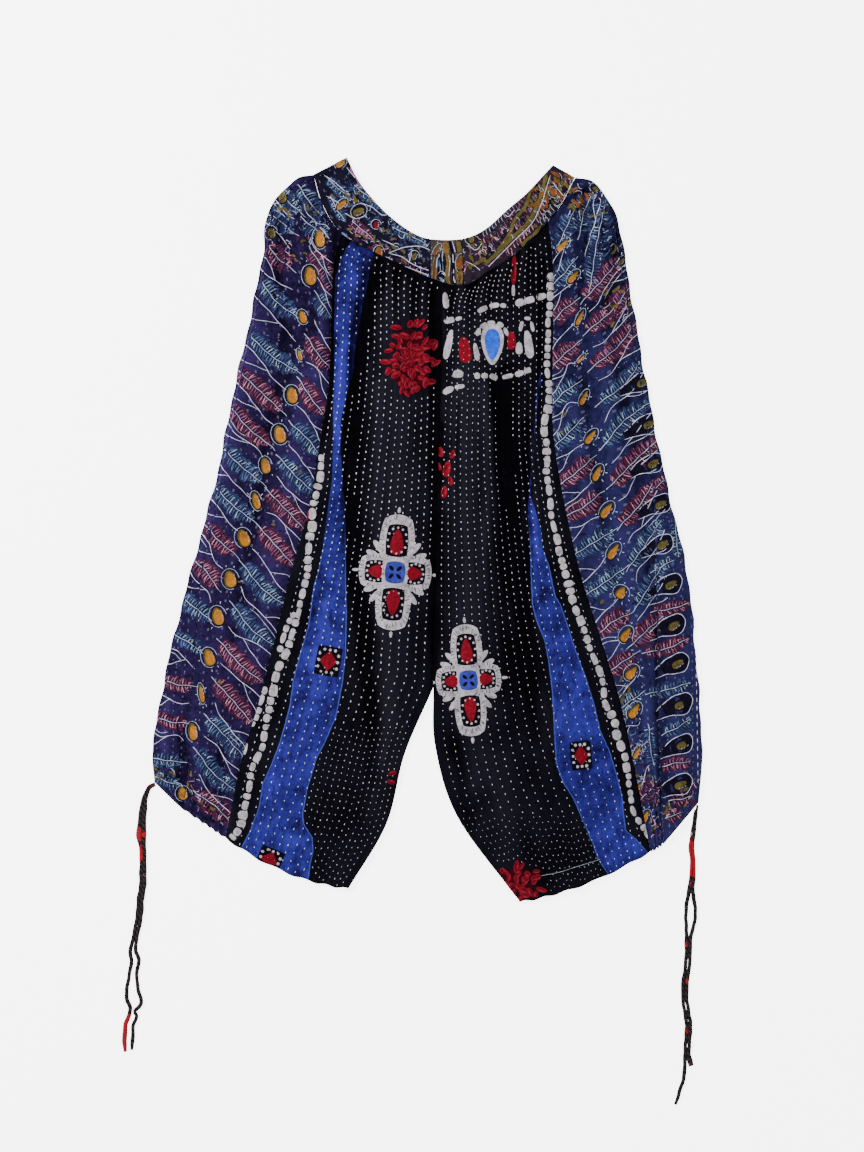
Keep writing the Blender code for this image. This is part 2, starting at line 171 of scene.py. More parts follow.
# Soft ridges and troughs of the front
CREASES = (   # line, half width, height at its start, height at its end
    # left stripe and the trough beside it
    (((-78, 285), (-85, 220), (-91, 94)), 12.6, 1.2, 1.4),
    (((-104, -80), (-112, -130), (-118, -190)), 15.0, 2.4, 1.4),
    (((-58, 262), (-73, 185), (-78, 104), (-80, 44), (-77, -37), (-70, -74), (-63, -153),
      (-57, -205), (-54, -262)),
     15.0, -7.0, -0.8),
    (((-48, 150), (-52, 20), (-44, -100), (-30, -200)), 13.0, 3.0, 2.2),
    (((84, 165), (86, 60), (82, -40), (84, -120), (92, -210)), 15.5, -3.8, -0.6),
    (((63, 150), (65, 60), (60, -60)), 9.0, 3.4, 1.5),
    (((104, 110), (108, 0), (104, -90)), 8.0, -3.5, -1.0),
    (((15, 110), (14, 0), (16, -110)), 5.0, -2.0, -0.8),
    (((33, 130), (34, 20), (38, -80)), 5.0, -2.0, -0.8),
    (((-37, 241), (-30, 104), (-30, -53), (-37, -242)), 26.2, 3.2, 2.7),
    (((10, 251), (7, 31), (8, -169)), 8.4, -3.2, -2.2),
    (((43, 230), (40, 31), (45, -95), (55, -263)), 25.2, 3.2, 2.4),
    (((73, 152), (89, 31), (103, -116), (112, -221)), 15.8, -4.9, -1.4),
    (((106, 94), (116, -32)), 9.5, 1.9, 0.8),
    (((-34, -169), (-58, -337)), 16.8, 1.6, 1.1),
    (((76, -242), (89, -368)), 23.1, 2.2, 1.4),
    (((29, -221), (45, -305)), 12.6, -1.4, -0.8),
    # waist gathers
    (((-49, 281), (-45, 204)), 5.8, -3.0, 0.0),
    (((-31, 270), (-29, 188)), 6.3, -4.1, 0.0),
    (((-12, 262), (-12, 204)), 5.2, -2.4, 0.0),
    (((7, 254), (9, 136)), 7.4, -3.2, -0.7),
    (((26, 251), (26, 204)), 5.2, -2.2, 0.0),
    (((48, 270), (45, 178)), 7.4, -4.3, 0.0),
    (((68, 281), (66, 222)), 5.2, -2.4, 0.0),
    (((93, 293), (91, 215)), 6.3, -3.5, 0.0),
    (((110, 298), (109, 241)), 5.2, -2.7, 0.0),
    (((121, 281), (118, 104)), 5.8, -3.8, -1.1),
    (((-39, 275), (-37, 209)), 5.2, 2.4, 0.0),
    (((-22, 262), (-20, 194)), 6.3, 3.0, 0.0),
    (((-3, 256), (-3, 186)), 6.3, 3.0, 0.0),
    (((17, 249), (18, 188)), 5.2, 2.2, 0.0),
    (((36, 262), (34, 194)), 7.4, 3.0, 0.0),
    (((58, 275), (56, 194)), 7.4, 3.0, 0.0),
    (((80, 287), (79, 204)), 7.4, 2.7, 0.0),
    (((101, 298), (99, 225)), 6.3, 2.7, 0.0),
    # left side
    (((-94, 308), (-96, 281), (-101, 136), (-111, 83)), 4.7, -6.1, -0.7),
    (((-107, 308), (-109, 209), (-117, 115)), 9.5, 3.5, 0.7),
    (((-152, 323), (-156, 251), (-146, 194)), 6.3, -4.9, -0.8),
    (((-134, 341), (-131, 251)), 9.5, 3.2, 0.5),
    (((-167, 330), (-172, 241)), 8.4, 2.7, 0.7),
    (((-115, 346), (-115, 299)), 5.2, -2.7, -0.5),
    (((-142, 356), (-148, 323)), 4.2, -2.2, -0.8),
    (((-174, 230), (-205, 94), (-234, -74)), 18.9, 2.2, 1.4),
    (((-144, 199), (-174, 52), (-205, -116)), 13.7, -2.2, -1.4),
    (((-123, 167), (-150, 10), (-181, -158)), 14.7, 2.2, 1.1),
    (((-257, -202), (-259, -284)), 7.4, -5.1, -3.0),
    (((-242, -216), (-237, -289)), 8.4, 3.0, 1.4),
    (((-272, -179), (-276, -261)), 8.4, 2.4, 1.4),
    (((-214, -221), (-224, -305)), 7.4, -1.9, -2.2),
    (((-201, -226), (-209, -311)), 6.3, 1.6, 1.9),
    # right side
    (((166, 354), (170, 304), (185, 249)), 7.4, -4.1, -1.4),
    (((201, 308), (194, 241), (185, 194)), 8.4, -4.1, -1.1),
    (((182, 348), (181, 257)), 7.4, 3.2, 1.1),
    (((150, 333), (151, 209)), 9.5, 2.7, 0.8),
    (((136, 312), (135, 241)), 4.7, -2.7, -0.5),
    (((215, 293), (223, 209)), 6.3, 1.9, 0.8),
    (((199, 186), (223, 52), (236, -74)), 10.5, -2.2, -1.6),
    (((181, 199), (204, 10), (223, -116)), 13.7, 2.2, 1.4),
    (((150, 146), (173, 10), (204, -137)), 11.6, 1.9, 1.1),
    (((163, 157), (184, 10), (214, -116)), 8.4, -1.6, -1.1),
    (((236, -32), (244, -127), (246, -200), (250, -290)), 8.4, -3.0, -4.3),
    (((262, -169), (267, -274)), 8.4, 2.7, 1.6),
    (((232, -179), (236, -284)), 8.4, 2.4, 1.6),
    (((253, 115), (269, -11)), 7.4, 1.6, 1.1),
)

# Edges of the blue stripe, from the waist down
STRIPE_EDGES = {
    "left_inner_edge": (
        (-79, 306), (-90, 287), (-97, 264), (-98, 241), (-98, 167), (-99, 136), (-99, 94), (-100, 52),
        (-104, 27), (-107, -1), (-109, -16), (-114, -43), (-119, -59), (-123, -89), (-125, -102),
        (-134, -132), (-141, -160), (-144, -183), (-150, -207), (-155, -224), (-163, -245),
        (-173, -267), (-177, -292), (-186, -316), (-197, -337), (-199, -358),
    ),
    "left_outer_edge": (
        (-59, 306), (-57, 288), (-62, 262), (-67, 241), (-71, 220), (-75, 199), (-78, 167), (-86, 136),
        (-91, 113), (-91, 83), (-89, 52), (-87, 27), (-86, -16), (-86, -59), (-85, -87), (-86, -132),
        (-89, -160), (-96, -196), (-107, -222), (-117, -241), (-121, -256), (-126, -271), (-131, -299),
        (-130, -309), (-121, -323), (-120, -338), (-123, -350), (-126, -373),
    ),
    "right_inner_edge": (
        (118, 161), (116, 155), (114, 138), (113, 113), (111, 91), (109, 70), (107, 48), (105, 15),
        (108, -16), (109, -58), (110, -78), (114, -95), (123, -117), (127, -138), (131, -171),
        (133, -213), (135, -245), (142, -265), (153, -282), (163, -305), (174, -331), (179, -346),
        (194, -368),
    ),
    "right_outer_edge": (
        (119, 161), (119, 155), (116, 138), (114, 113), (112, 91), (110, 70), (108, 37), (111, 27),
        (119, -1), (120, -20), (127, -37), (134, -70), (140, -80), (149, -108), (157, -132),
        (165, -153), (174, -181), (181, -211), (191, -233), (198, -256), (204, -280), (206, -301),
        (208, -316), (219, -325), (236, -345),
    ),
}
PEBBLE_LINES = {
    "left_long": (
        (-111, 79), (-113, 52), (-117, 37), (-121, 20), (-121, 4),
        (-124, -12), (-125, -29), (-127, -51), (-132, -70), (-136, -89), (-141, -107), (-148, -128),
        (-159, -153), (-163, -175), (-170, -207), (-173, -228), (-184, -251), (-188, -274),
        (-193, -295), (-196, -312), (-206, -325),
    ),
    "left_upper": (
        (-138, -87), (-145, -97), (-152, -116), (-155, -129),
    ),
    "left_middle": (
        (-170, -164), (-173, -175), (-178, -192), (-184, -207),
    ),
    "left_lower": (
        (-191, -223), (-194, -241),
    ),
    "right_long": (
        (130, 270), (128, 238), (126, 200), (125, 169), (128, 149), (127, 131), (124, 117), (122, 104),
        (125, 89), (125, 70), (125, 57), (128, 37), (129, 16), (132, 3), (136, -12), (140, -31),
        (146, -50), (150, -66), (156, -85), (166, -109), (170, -123), (179, -146), (184, -160),
        (186, -181), (195, -198), (198, -214), (204, -230), (209, -249), (213, -278), (217, -297),
        (228, -314), (234, -325),
    ),
}
FRONDS = {   # tint, start, end
    "left_outer": (
        ("teal", (-163, 361), (-134, 333)),
        ("teal", (-174, 333), (-142, 312)),
        ("crimson", (-167, 298), (-144, 275)),
        ("teal", (-174, 260), (-138, 224)),
        ("teal", (-187, 204), (-137, 166)),
        ("crimson", (-201, 169), (-154, 125)),
        ("crimson", (-207, 130), (-166, 89)),
        ("teal", (-216, 87), (-175, 50)),
        ("teal", (-224, 46), (-184, 10)),
        ("crimson", (-233, 5), (-203, -25)),
        ("crimson", (-244, -33), (-222, -59)),
        ("teal", (-257, -72), (-230, -93)),
    ),
    "left_inner": (
        ("teal", (-134, 359), (-111, 329)),
        ("teal", (-128, 323), (-107, 304)),
        ("crimson", (-121, 291), (-98, 249)),
        ("teal", (-115, 245), (-100, 222)),
        ("crimson", (-125, 200), (-102, 169)),
        ("crimson", (-133, 155), (-109, 121)),
        ("teal", (-141, 109), (-113, 78)),
        ("teal", (-154, 74), (-119, 39)),
        ("crimson", (-166, 39), (-130, 1)),
        ("crimson", (-175, 1), (-141, -37)),
        ("teal", (-193, -37), (-152, -78)),
        ("teal", (-203, -80), (-162, -121)),
        ("crimson", (-216, -119), (-173, -160)),
        ("crimson", (-222, -160), (-185, -202)),
        ("teal", (-230, -198), (-190, -241)),
        ("teal", (-241, -233), (-201, -274)),
        ("crimson", (-241, -278), (-207, -307)),
    ),
    "left_turn": (
        ("teal", (-265, -111), (-237, -129)),
        ("crimson", (-277, -158), (-246, -164)),
        ("crimson", (-284, -197), (-252, -203)),
        ("teal", (-288, -240), (-258, -244)),
        ("teal", (-286, -259), (-262, -268)),
    ),
    "right_inner": (
        ("teal", (135, 293), (152, 331)),
        ("teal", (132, 258), (153, 281)),
        ("crimson", (132, 218), (155, 239)),
        ("crimson", (132, 172), (157, 195)),
        ("teal", (132, 132), (157, 153)),
        ("teal", (133, 87), (159, 113)),
        ("crimson", (140, 48), (172, 74)),
        ("crimson", (144, 14), (180, 37)),
        ("teal", (153, -27), (194, -2)),
        ("teal", (167, -68), (206, -41)),
        ("crimson", (181, -108), (211, -89)),
        ("crimson", (190, -150), (217, -131)),
        ("teal", (198, -192), (223, -173)),
        ("teal", (208, -244), (227, -225)),
        ("crimson", (223, -284), (240, -265)),
    ),
    "right_outer": (
        ("teal", (160, 312), (173, 352)),
        ("teal", (171, 257), (187, 346)),
        ("crimson", (166, 243), (202, 285)),
        ("crimson", (169, 209), (213, 256)),
        ("crimson", (174, 171), (219, 218)),
        ("teal", (182, 134), (223, 175)),
        ("teal", (186, 89), (229, 130)),
        ("crimson", (194, 48), (240, 93)),
        ("crimson", (204, 6), (236, 48)),
        ("teal", (213, -37), (245, 10)),
        ("teal", (221, -78), (248, -36)),
        ("crimson", (215, -120), (248, -91)),
    ),
    "right_turn": (
        ("teal", (228, 130), (238, 137)),
        ("crimson", (232, 85), (245, 94)),
        ("crimson", (237, 41), (253, 54)),
        ("teal", (260, 7), (263, -29)),
        ("teal", (237, -44), (258, -32)),
        ("crimson", (237, -86), (275, -77)),
        ("crimson", (228, -129), (274, -114)),
        ("teal", (232, -172), (276, -160)),
        ("teal", (249, -214), (276, -198)),
        ("crimson", (247, -249), (276, -244)),
        ("crimson", (257, -284), (276, -280)),
        ("crimson", (250, -303), (266, -297)),
        ("teal", (232, -208), (237, -247)),
        ("crimson", (236, -263), (239, -289)),
    ),
}
# Leg, column, which end its pale lines part at, how far its midribs run on, the pieces it lies on
FROND_COLUMNS = (
    ("left", "left_outer", "start", (0, 9), ("left_front_side_panel", "left_turned_edge")),
    ("left", "left_inner", "end", (7, 0), ("left_front_side_panel",)),
    ("left", "left_turn", "start", (0, 6), ("left_turned_edge", "left_front_side_panel")),
    ("right", "right_inner", "start", (0, 7), ("right_front_side_panel",)),
    ("right", "right_outer", "end", (9, 0), ("right_front_side_panel", "right_turned_edge")),
    ("right", "right_turn", "", (4, 0), ("right_turned_edge", "right_front_side_panel")),
)
BUDS = {   # tint, centre, width, height
    "left": (
        ("gold", (-131, 223), 9.5, 13.7),
        ("gold", (-134, 183), 5.2, 12.6),
        ("gold", (-142, 141), 13.7, 17.9),
        ("gold", (-155, 100), 14.7, 18.9),
        ("gold", (-170, 67), 11.6, 16.8),
        ("gold", (-180, 30), 9.5, 17.9),
        ("gold", (-193, -9), 14.7, 18.9),
        ("gold", (-207, -52), 14.7, 17.9),
        ("gold", (-220, -91), 14.7, 18.9),
        ("gold", (-229, -134), 13.7, 17.9),
        ("gold", (-237, -172), 6.3, 18.9),
        ("gold", (-246, -212), 11.6, 17.9),
        ("gold", (-257, -277), 12.6, 13.7),
        ("gold", (-113, 305), 12.6, 18.9),
        ("gold", (-123, 266), 14.7, 19.9),
        ("olive", (-153, 349), 11.6, 14.2),
        ("olive", (-164, 311), 11.0, 12.6),
    ),
    "right": (
        ("gold", (142, 298), 10.5, 17.9),
        ("gold", (153, 265), 10.5, 17.9),
        ("gold", (160, 222), 8.4, 19.9),
        ("gold", (161, 179), 5.2, 13.7),
        ("gold", (164, 138), 9.5, 18.9),
        ("gold", (171, 97), 11.6, 19.9),
        ("gold", (178, 59), 12.6, 19.9),
        ("gold", (188, 20), 13.7, 21.0),
        ("gold", (195, -23), 13.7, 21.0),
        ("gold", (203, -66), 17.9, 14.7),
        ("gold", (208, -110), 14.7, 18.9),
        ("gold", (214, -150), 15.8, 17.9),
        ("gold", (217, -190), 14.7, 19.9),
        ("gold", (220, -234), 8.4, 16.8),
        ("gold", (221, -271), 7.4, 13.7),
        ("gold", (229, -301), 10.5, 14.7),
        ("olive", (176, 358), 12.6, 9.5),
        ("olive", (204, 282), 7.4, 12.6),
        ("olive", (213, 239), 7.4, 12.6),
    ),
}
ARCHED_BUDS = (   # centres of those that pale arches go round, down the right turned edge
    (226, 155), (233, 111), (237, 70), (245, 27), (247, -15), (256, -57), (259, -100), (263, -140),
    (266, -183), (268, -225), (266, -267),
)
ARCH_REACH = (11.8, 9.6)   # half an arch's width and height, which its knots are counted in
ARCH_KNOTS = ((-2.2, -0.9), (-1.4, 0.1), (-0.5, 0.9), (0.45, 1.2), (0.95, 0.6), (0.9, -0.3), (0.4, -1.05),
              (-1.1, -1.3), (-2.2, -1.8))
BAND_STROKES = {   # finish, width, line
    "waistband_front_left": (
        ("white_lines", 0.6, ((-109, 372), (-97, 364), (-87, 355))),
        ("white_lines", 0.6, ((-71, 343), (-58, 338), (-48, 330), (-40, 331))),
        ("white_lines", 0.65, ((-41, 290), (-24, 296), (-8, 297), (3, 293))),
        ("white_lines", 0.65, ((-41, 290), (-27, 286), (-15, 278), (1, 272))),
        ("white_lines", 0.6, ((-87, 332), (-75, 326), (-64, 330))),
        ("white_lines", 0.6, ((-85, 380), (-76, 369))),
        ("white_lines", 0.6, ((-106, 350), (-87, 339))),
        ("white_lines", 0.6, ((-16, 293), (-19, 281))),
        ("white_lines", 0.6, ((-48, 304), (-35, 298))),
        ("crimson_light", 3.7, ((-81, 380), (-73, 367), (-67, 356))),
        ("crimson", 5.2, ((-32, 277), (-19, 269))),
        ("red_print", 6.8, ((-17, 272), (-10, 268))),
        ("blue_print", 5.8, ((-5, 267), (2, 263))),
        ("white_lines", 0.6, ((-18, 277), (-20, 267))),
        ("white_lines", 0.6, ((-7, 272), (-8, 263))),
        ("white_lines", 0.6, ((-41, 285), (-31, 279), (1, 267))),
        ("crimson_light", 4.2, ((-79, 318), (-70, 312), (-62, 306))),
        ("teal_light", 3.2, ((-90, 312), (-83, 304))),
    ),
    "waistband_front_right": (
        ("olive", 4.4, ((125, 374), (121, 358), (117, 345), (107, 324), (89, 306), (72, 289), (61, 279))),
        ("olive", 3.8, ((109, 360), (103, 340), (91, 324), (86, 310), (74, 293))),
        ("olive", 3.6, ((119, 319), (112, 310), (104, 304), (97, 295))),
        ("olive", 3.8, ((139, 365), (148, 359), (156, 350))),
        ("white_lines", 0.6, ((129, 372), (124, 356), (120, 343), (110, 322), (92, 304), (75, 287),
         (64, 276))),
        ("white_lines", 0.6, ((80, 332), (85, 328), (91, 335))),
        ("white_lines", 0.6, ((43, 298), (51, 293), (57, 300))),
        ("white_lines", 0.6, ((131, 365), (141, 352), (152, 344))),
        ("white_lines", 0.6, ((119, 312), (108, 298), (97, 289))),
        ("orange", 3.2, ((129, 376), (139, 370))),
        ("crimson", 4.2, ((80, 291), (88, 298), (96, 304))),
        ("crimson_light", 3.2, ((114, 365), (118, 369))),
        ("olive", 3.4, ((145, 350), (153, 358))),
        ("orange", 4.7, ((152, 348), (160, 354))),
        ("crimson_light", 3.2, ((139, 346), (148, 338))),
        ("white_lines", 0.6, ((135, 340), (145, 331))),
        ("olive", 4.2, ((43, 275), (55, 281), (61, 284))),
        ("white_lines", 0.6, ((40, 281), (49, 277), (55, 272))),
    ),
    "waistband_centre_patch": (
        ("tan_print", 1.3, ((7.4, 287), (5.6, 276), (4.8, 264), (4.6, 258))),
        ("orange", 1.6, ((9.6, 276), (8.6, 268), (7.8, 258))),
        ("tan_print", 0.8, ((9.9, 276), (9.0, 268), (8.2, 258))),
        ("pale_veins", 1.1, ((12.6, 287), (10.1, 283.6), (9.4, 274))),
        ("dark_veins", 8.6, ((14.6, 289), (14.3, 280), (14.8, 270), (14.2, 262))),
        ("pale_veins", 0.8, ((16.2, 293), (15.4, 286), (15.9, 281))),
        ("pale_veins", 0.7, ((13.2, 279), (13.4, 272))),
        ("teal_light", 0.9, ((15.8, 280), (16.4, 272))),
        ("teal_light", 0.9, ((12.2, 283), (12.0, 276))),
        ("tan_print", 6.6, ((18.4, 303), (19.0, 297), (19.4, 290))),
        ("tan_print", 1.0, ((15.9, 301), (16.9, 294), (16.4, 288))),
        ("tan_print", 1.0, ((20.6, 301), (20.9, 293), (22.4, 287))),
        ("olive", 5.4, ((19.6, 291), (22.0, 283), (21.6, 274), (20.6, 266), (22.6, 259), (25.0, 254))),
        ("tan_print", 1.1, ((18.9, 289), (20.4, 283), (20.2, 275), (19.2, 267))),
        ("pale_veins", 0.7, ((21.6, 288), (23.4, 281), (23.0, 274), (22.2, 266))),
        ("tan_print", 1.0, ((21.2, 279), (21.6, 272), (21.3, 265), (23.6, 258))),
        ("dark_veins", 3.6, ((23.4, 303), (25.2, 294), (26.9, 286), (27.0, 275), (27.2, 265),
         (28.8, 255))),
        ("white_lines", 0.8, ((25.8, 303), (27.4, 297), (29.0, 291))),
        ("white_lines", 0.8, ((26.5, 289.5), (26.8, 284), (26.7, 280))),
        ("white_lines", 0.9, ((27.6, 273), (27.3, 269))),
        ("white_lines", 0.9, ((27.4, 266), (27.8, 262.5), (29.0, 259))),
        ("olive", 6.0, ((31.2, 303), (33.0, 297), (34.6, 291))),
        ("tan_print", 0.9, ((29.4, 291), (31.2, 286), (30.4, 277), (30.8, 268))),
        ("tan_print", 6.8, ((34.6, 272), (34.2, 266), (32.4, 259))),
        ("tan_print", 1.1, ((36.6, 271), (36.0, 265), (33.4, 258))),
        ("olive", 2.6, ((33.2, 271), (32.6, 264), (31.4, 258))),
        ("pale_veins", 1.0, ((11.4, 268.6), (13.6, 271), (16.6, 270.4), (18.6, 266.4))),
        ("white_lines", 1.2, ((15.0, 269), (17.2, 267.6))),
        ("teal_light", 3.0, ((12.0, 264.5), (14.6, 263), (15.6, 258.6))),
        ("white_lines", 1.0, ((17.4, 263), (16.4, 259.6), (14.4, 256.4))),
        ("red_print", 3.4, ((8.6, 260.5), (11.4, 259.4), (13.6, 257.2))),
        ("crimson", 3.0, ((18.2, 258.6), (19.8, 254.8))),
    ),
}
BAND_HATCHES = {   # finish, length of a stroke, line they cross
    "waistband_front_right": (
        ("crimson_light", 11.6, ((119, 371), (112, 342), (100, 323), (85, 304), (68, 288))),
        ("crimson_pale", 8.6, ((132, 361), (124, 344), (115, 323), (99, 306), (85, 292))),
        ("crimson_light", 9.5, ((102, 354), (94, 337), (82, 319), (71, 304), (55, 291))),
        ("pale_veins", 9.0, ((137, 350), (128, 333), (119, 323))),
        ("pale_veins", 8.4, ((89, 340), (74, 323), (59, 310))),
    ),
    "waistband_front_left": (
        ("teal", 9.5, ((-86, 369), (-69, 354), (-50, 338))),
        ("teal_light", 9.5, ((-102, 363), (-90, 350))),
        ("teal_light", 8.4, ((-35, 321), (-18, 308), (1, 300))),
        ("teal_light", 7.4, ((-69, 331), (-54, 321), (-39, 308))),
    ),
}
BAND_FRONDS = (   # on the left piece: tint, start, end, half width
    ("teal", (-104, 367), (-79, 346), 7),
    ("teal", (-77, 361), (-44, 333), 7.5),
    ("teal", (-37, 317), (1, 298), 6.5),
    ("crimson", (-79, 323), (-56, 304), 6),
    ("teal", (-102, 350), (-86, 323), 6),
)
BAND_BUDS = {   # finish, centre, width, height, tilt
    "waistband_front_left": (
        ("gold", (-91, 384), 7.4, 11.6, -55),
        ("gold", (-90, 341), 7.4, 13.7, -45),
        ("olive", (-72, 334), 11.6, 14.7, -60),
        ("red_print", (-54, 320), 8.4, 8.4, 0),
        ("orange", (-51, 291), 9.5, 11.6, 0),
        ("olive", (-14, 287), 8.4, 9.5, -20),
        ("orange", (-34, 326), 4.2, 6.3, -50),
    ),
    "waistband_front_right": (
        ("orange", (132, 354), 8.4, 9.5, 20),
        ("orange", (157, 354), 8.4, 9.5, 30),
        ("olive", (45, 306), 9.5, 11.6, 10),
        ("crimson", (97, 366), 5.2, 7.4, -30),
        ("gold", (154, 363), 6.3, 8.4, 40),
        ("crimson", (127, 330), 5.2, 7.4, 40),
        ("olive", (111, 298), 5.2, 9.5, -30),
    ),
    "waistband_centre_patch": (
        ("orange", (9.8, 293.1), 5.2, 13, -30),
        ("orange", (34.4, 279.7), 8.2, 16, -6),
    ),
}
BORDER_LINES = (   # upper ones, lower ones
    (((16, 218), (37, 222)), ((52, 228), (68, 235), (83, 234)),
     ((91, 236), (108, 241), (125, 246))),
    (((16, 142), (26, 148), (43, 151)), ((49, 161), (66, 161), (76, 157)),
     ((78, 159), (95, 163), (112, 169))),
)
BORDER_SHAPES = (   # kind, centre, half width, half height, tilt
    ("red", (39, 188), 7.4, 13.7, 8),
    ("drop", (68, 194), 11.6, 17.9, 0),
    ("red", (88, 198), 5.2, 9.5, 0),
    ("arch", (68, 202), 15.8, 14.7, 0),
    ("pale", (106, 194), 5.2, 14.7, 8),
    ("pale", (22, 194), 4.2, 15.8, -12),
    ("pale", (51, 186), 3.2, 9.5, 10),
    ("pale", (96, 190), 4.2, 6.3, 0),
    ("arch", (104, 207), 6.3, 14.7, 0),
    ("pale", (32, 163), 6.3, 4.2, 0),
    ("pale", (19, 240), 3.6, 8.4, 6),
    ("pale", (90, 251), 2.1, 6.3, 0),
)
SMALL_SQUARES = (   # panel, centre, half width, half height, tilt
    ("left_front_centre_panel", (-104, -138), 13, 15.5, -10),
    ("left_front_centre_panel", (-166, -347), 13, 13, -24),
    ("right_front_centre_panel", (161, -237), 11, 15, 6),
)
MEDALLIONS = (   # panel, centre, half width, half height, tilt
    ("left_front_centre_panel", (-34, -45), 39, 62, -4),
    ("right_front_centre_panel", (43, -158), 35, 60, 4),
)
FLOWER_SPRAYS = (   # panel, centre, half width, half height
    ("left_front_centre_panel", (-17, 179), 27, 42),
    ("right_front_centre_panel", (92, -372), 31, 21),
)
BROAD_STROKES = ("teal", "teal_wash", "crimson", "crimson_wash", "olive", "orange")
LEAFY = ("teal", "dark_veins", "teal_light", "dark_veins", "teal_wash", "teal", "dark_veins",
         "pale_veins", "dark_veins", "teal_wash", "dark_veins", "olive", "teal_light", "dark_veins")
VINES = ("crimson_wash", "pale_veins", "dark_veins", "olive", "dark_veins", "crimson", "dark_veins",
         "crimson_light", "dark_veins", "crimson_pale")
GILT = ("olive", "dark_veins", "pale_veins", "dark_veins", "orange", "dark_veins", "crimson_light",
        "dark_veins", "olive")
SCRIBBLES = (   # piece, line they crowd along, half its width, how many, length, lean, finishes
    ("waistband_front_left", ((-98, 364), (-78, 343), (-50, 322), (-25, 303), (0, 291)),
     13, 250, 5.5, -40, LEAFY),
    ("waistband_front_left", ((-84, 315), (-60, 302), (-40, 288)), 8, 60, 6, -20, VINES),
    ("waistband_front_left", ((-30, 282), (-14, 274), (0, 268)), 5, 36, 6, 80, VINES),
    ("waistband_front_right", ((46, 281), (80, 305), (105, 330), (132, 362)), 13, 270, 5.5, -60, VINES),
    ("waistband_front_right", ((116, 344), (135, 356), (150, 362)), 13, 170, 6, -50, GILT),
    ("left_front_side_panel", ((-166, 332), (-146, 336), (-118, 330)), 15, 70, 8, -55, LEAFY),
    ("left_turned_edge", ((-166, 332), (-150, 345)), 14, 34, 5, -55, LEAFY),
    # In the rows at the hem corners of the left turned edge, the right turned edge and the right side
    # panel, the dark strokes are painted shade of the hem's gathers; the rest is print.
    ("left_turned_edge", ((-284, -246), (-268, -266)), 10, 44, 7, -60, LEAFY),
    ("left_front_side_panel", ((-256, -256), (-238, -284), (-215, -308)), 8, 50, 6, -40, VINES),
    ("right_turned_edge", ((246, -296), (262, -290), (279, -268)), 10, 60, 8, 75, VINES),
    ("right_front_side_panel", ((236, -316), (247, -302)), 9, 30, 7, 60, VINES),
    ("left_front_side_panel", ((-158, 296), (-120, 296)), 13, 40, 5, -40, VINES),
    ("right_front_side_panel", ((158, 345), (188, 322), (197, 280)), 14, 120, 10, 55, LEAFY),
    ("right_turned_edge", ((188, 330), (203, 290)), 12, 40, 8, 55, LEAFY),
    ("right_front_side_panel", ((150, 355), (166, 342)), 9, 50, 7, -40, GILT),
    ("right_front_side_panel", ((190, 250), (205, 215)), 12, 60, 9, 45, VINES),
    ("left_front_side_panel", ((-170, 200), (-150, 60), (-200, -100), (-225, -250)), 30, 60, 4, -35, LEAFY),
    ("right_front_side_panel", ((150, 200), (180, 40), (205, -120), (228, -250)), 26, 70, 5, 40, LEAFY),
    ("right_front_side_panel", ((200, -170), (216, -230), (234, -290)), 13, 90, 7, 50, LEAFY),
    ("right_front_side_panel", ((196, -150), (212, -220), (230, -280)), 12, 50, 6, 55, VINES),
)
RED_PETALS = (   # panel, foot, direction, length, width
    ("right_front_centre_panel", (15, 76), 100, 11, 8),
    ("right_front_centre_panel", (25, 74), 75, 10, 6),
    ("right_front_centre_panel", (19, 55), 80, 17, 10),
    ("right_front_centre_panel", (25, 46), 100, 10, 6),
    ("right_front_centre_panel", (17, 33), 85, 13, 8),
    ("right_front_centre_panel", (14, 62), 110, 9, 5),
    ("right_front_centre_panel", (90, 256), 88, 34, 7),
    ("left_front_centre_panel", (-33, -254), 200, 9, 6),
    ("left_front_centre_panel", (-34, -266), 165, 9, 6),
    ("left_front_centre_panel", (-127, 9), 85, 14, 5),
)

# Dyes, each part 0 to 255
# The black cloth runs from its deep tint, painted shade in its troughs, to its paler one, painted sheen on
# its lit ridges with some fading; the blue stripe's deep and bright tints do the same.
DEEP_BLACK = (3.0, 2.1, 5.4)
SHEEN_AND_WORN_BLACK = (23, 22, 32)
DEEP_BLUE = (14, 9.7, 47)
BRIGHT_BLUE = (48, 49, 148)
PALE_BLUE = (83, 101, 207)
# Dark blue for streaks low on the stripe: painted shade of its folds.
FOLD_SHADE_BLUE = (20, 11.8, 52)
# The navy and indigo side cloths likewise: deep tints as painted shade in troughs, paler ones as painted
# light on ridges with some fading.
DEEP_NAVY = (12, 6.3, 28)
DEEP_INDIGO = (11.6, 9.8, 31)
LIT_WORN_INDIGO = (38, 37, 81)
LIT_WORN_NAVY = (42, 30, 75)
# The waistband's, vine print's and patch's tints likewise: deeper where the band lies lower, as painted
# shade, paler where it stands higher, as painted light with some fading.
BAND_DEEP = (8.9, 5.0, 21)
BAND_NAVY = (23, 20, 37)
VINE_DEEP = (15, 10.2, 21)
VINE_PALE = (44, 34, 46)
PATCH_DEEP = (32, 28, 33)
PATCH_PALE = (66, 58, 54)
FLECK = (166, 165, 204)
RED = (144, 30, 37)
CORD_DEEP = (22, 17, 21)
CORD_WORN = (50, 45, 47)
CORD_PALE = (169, 122, 110)
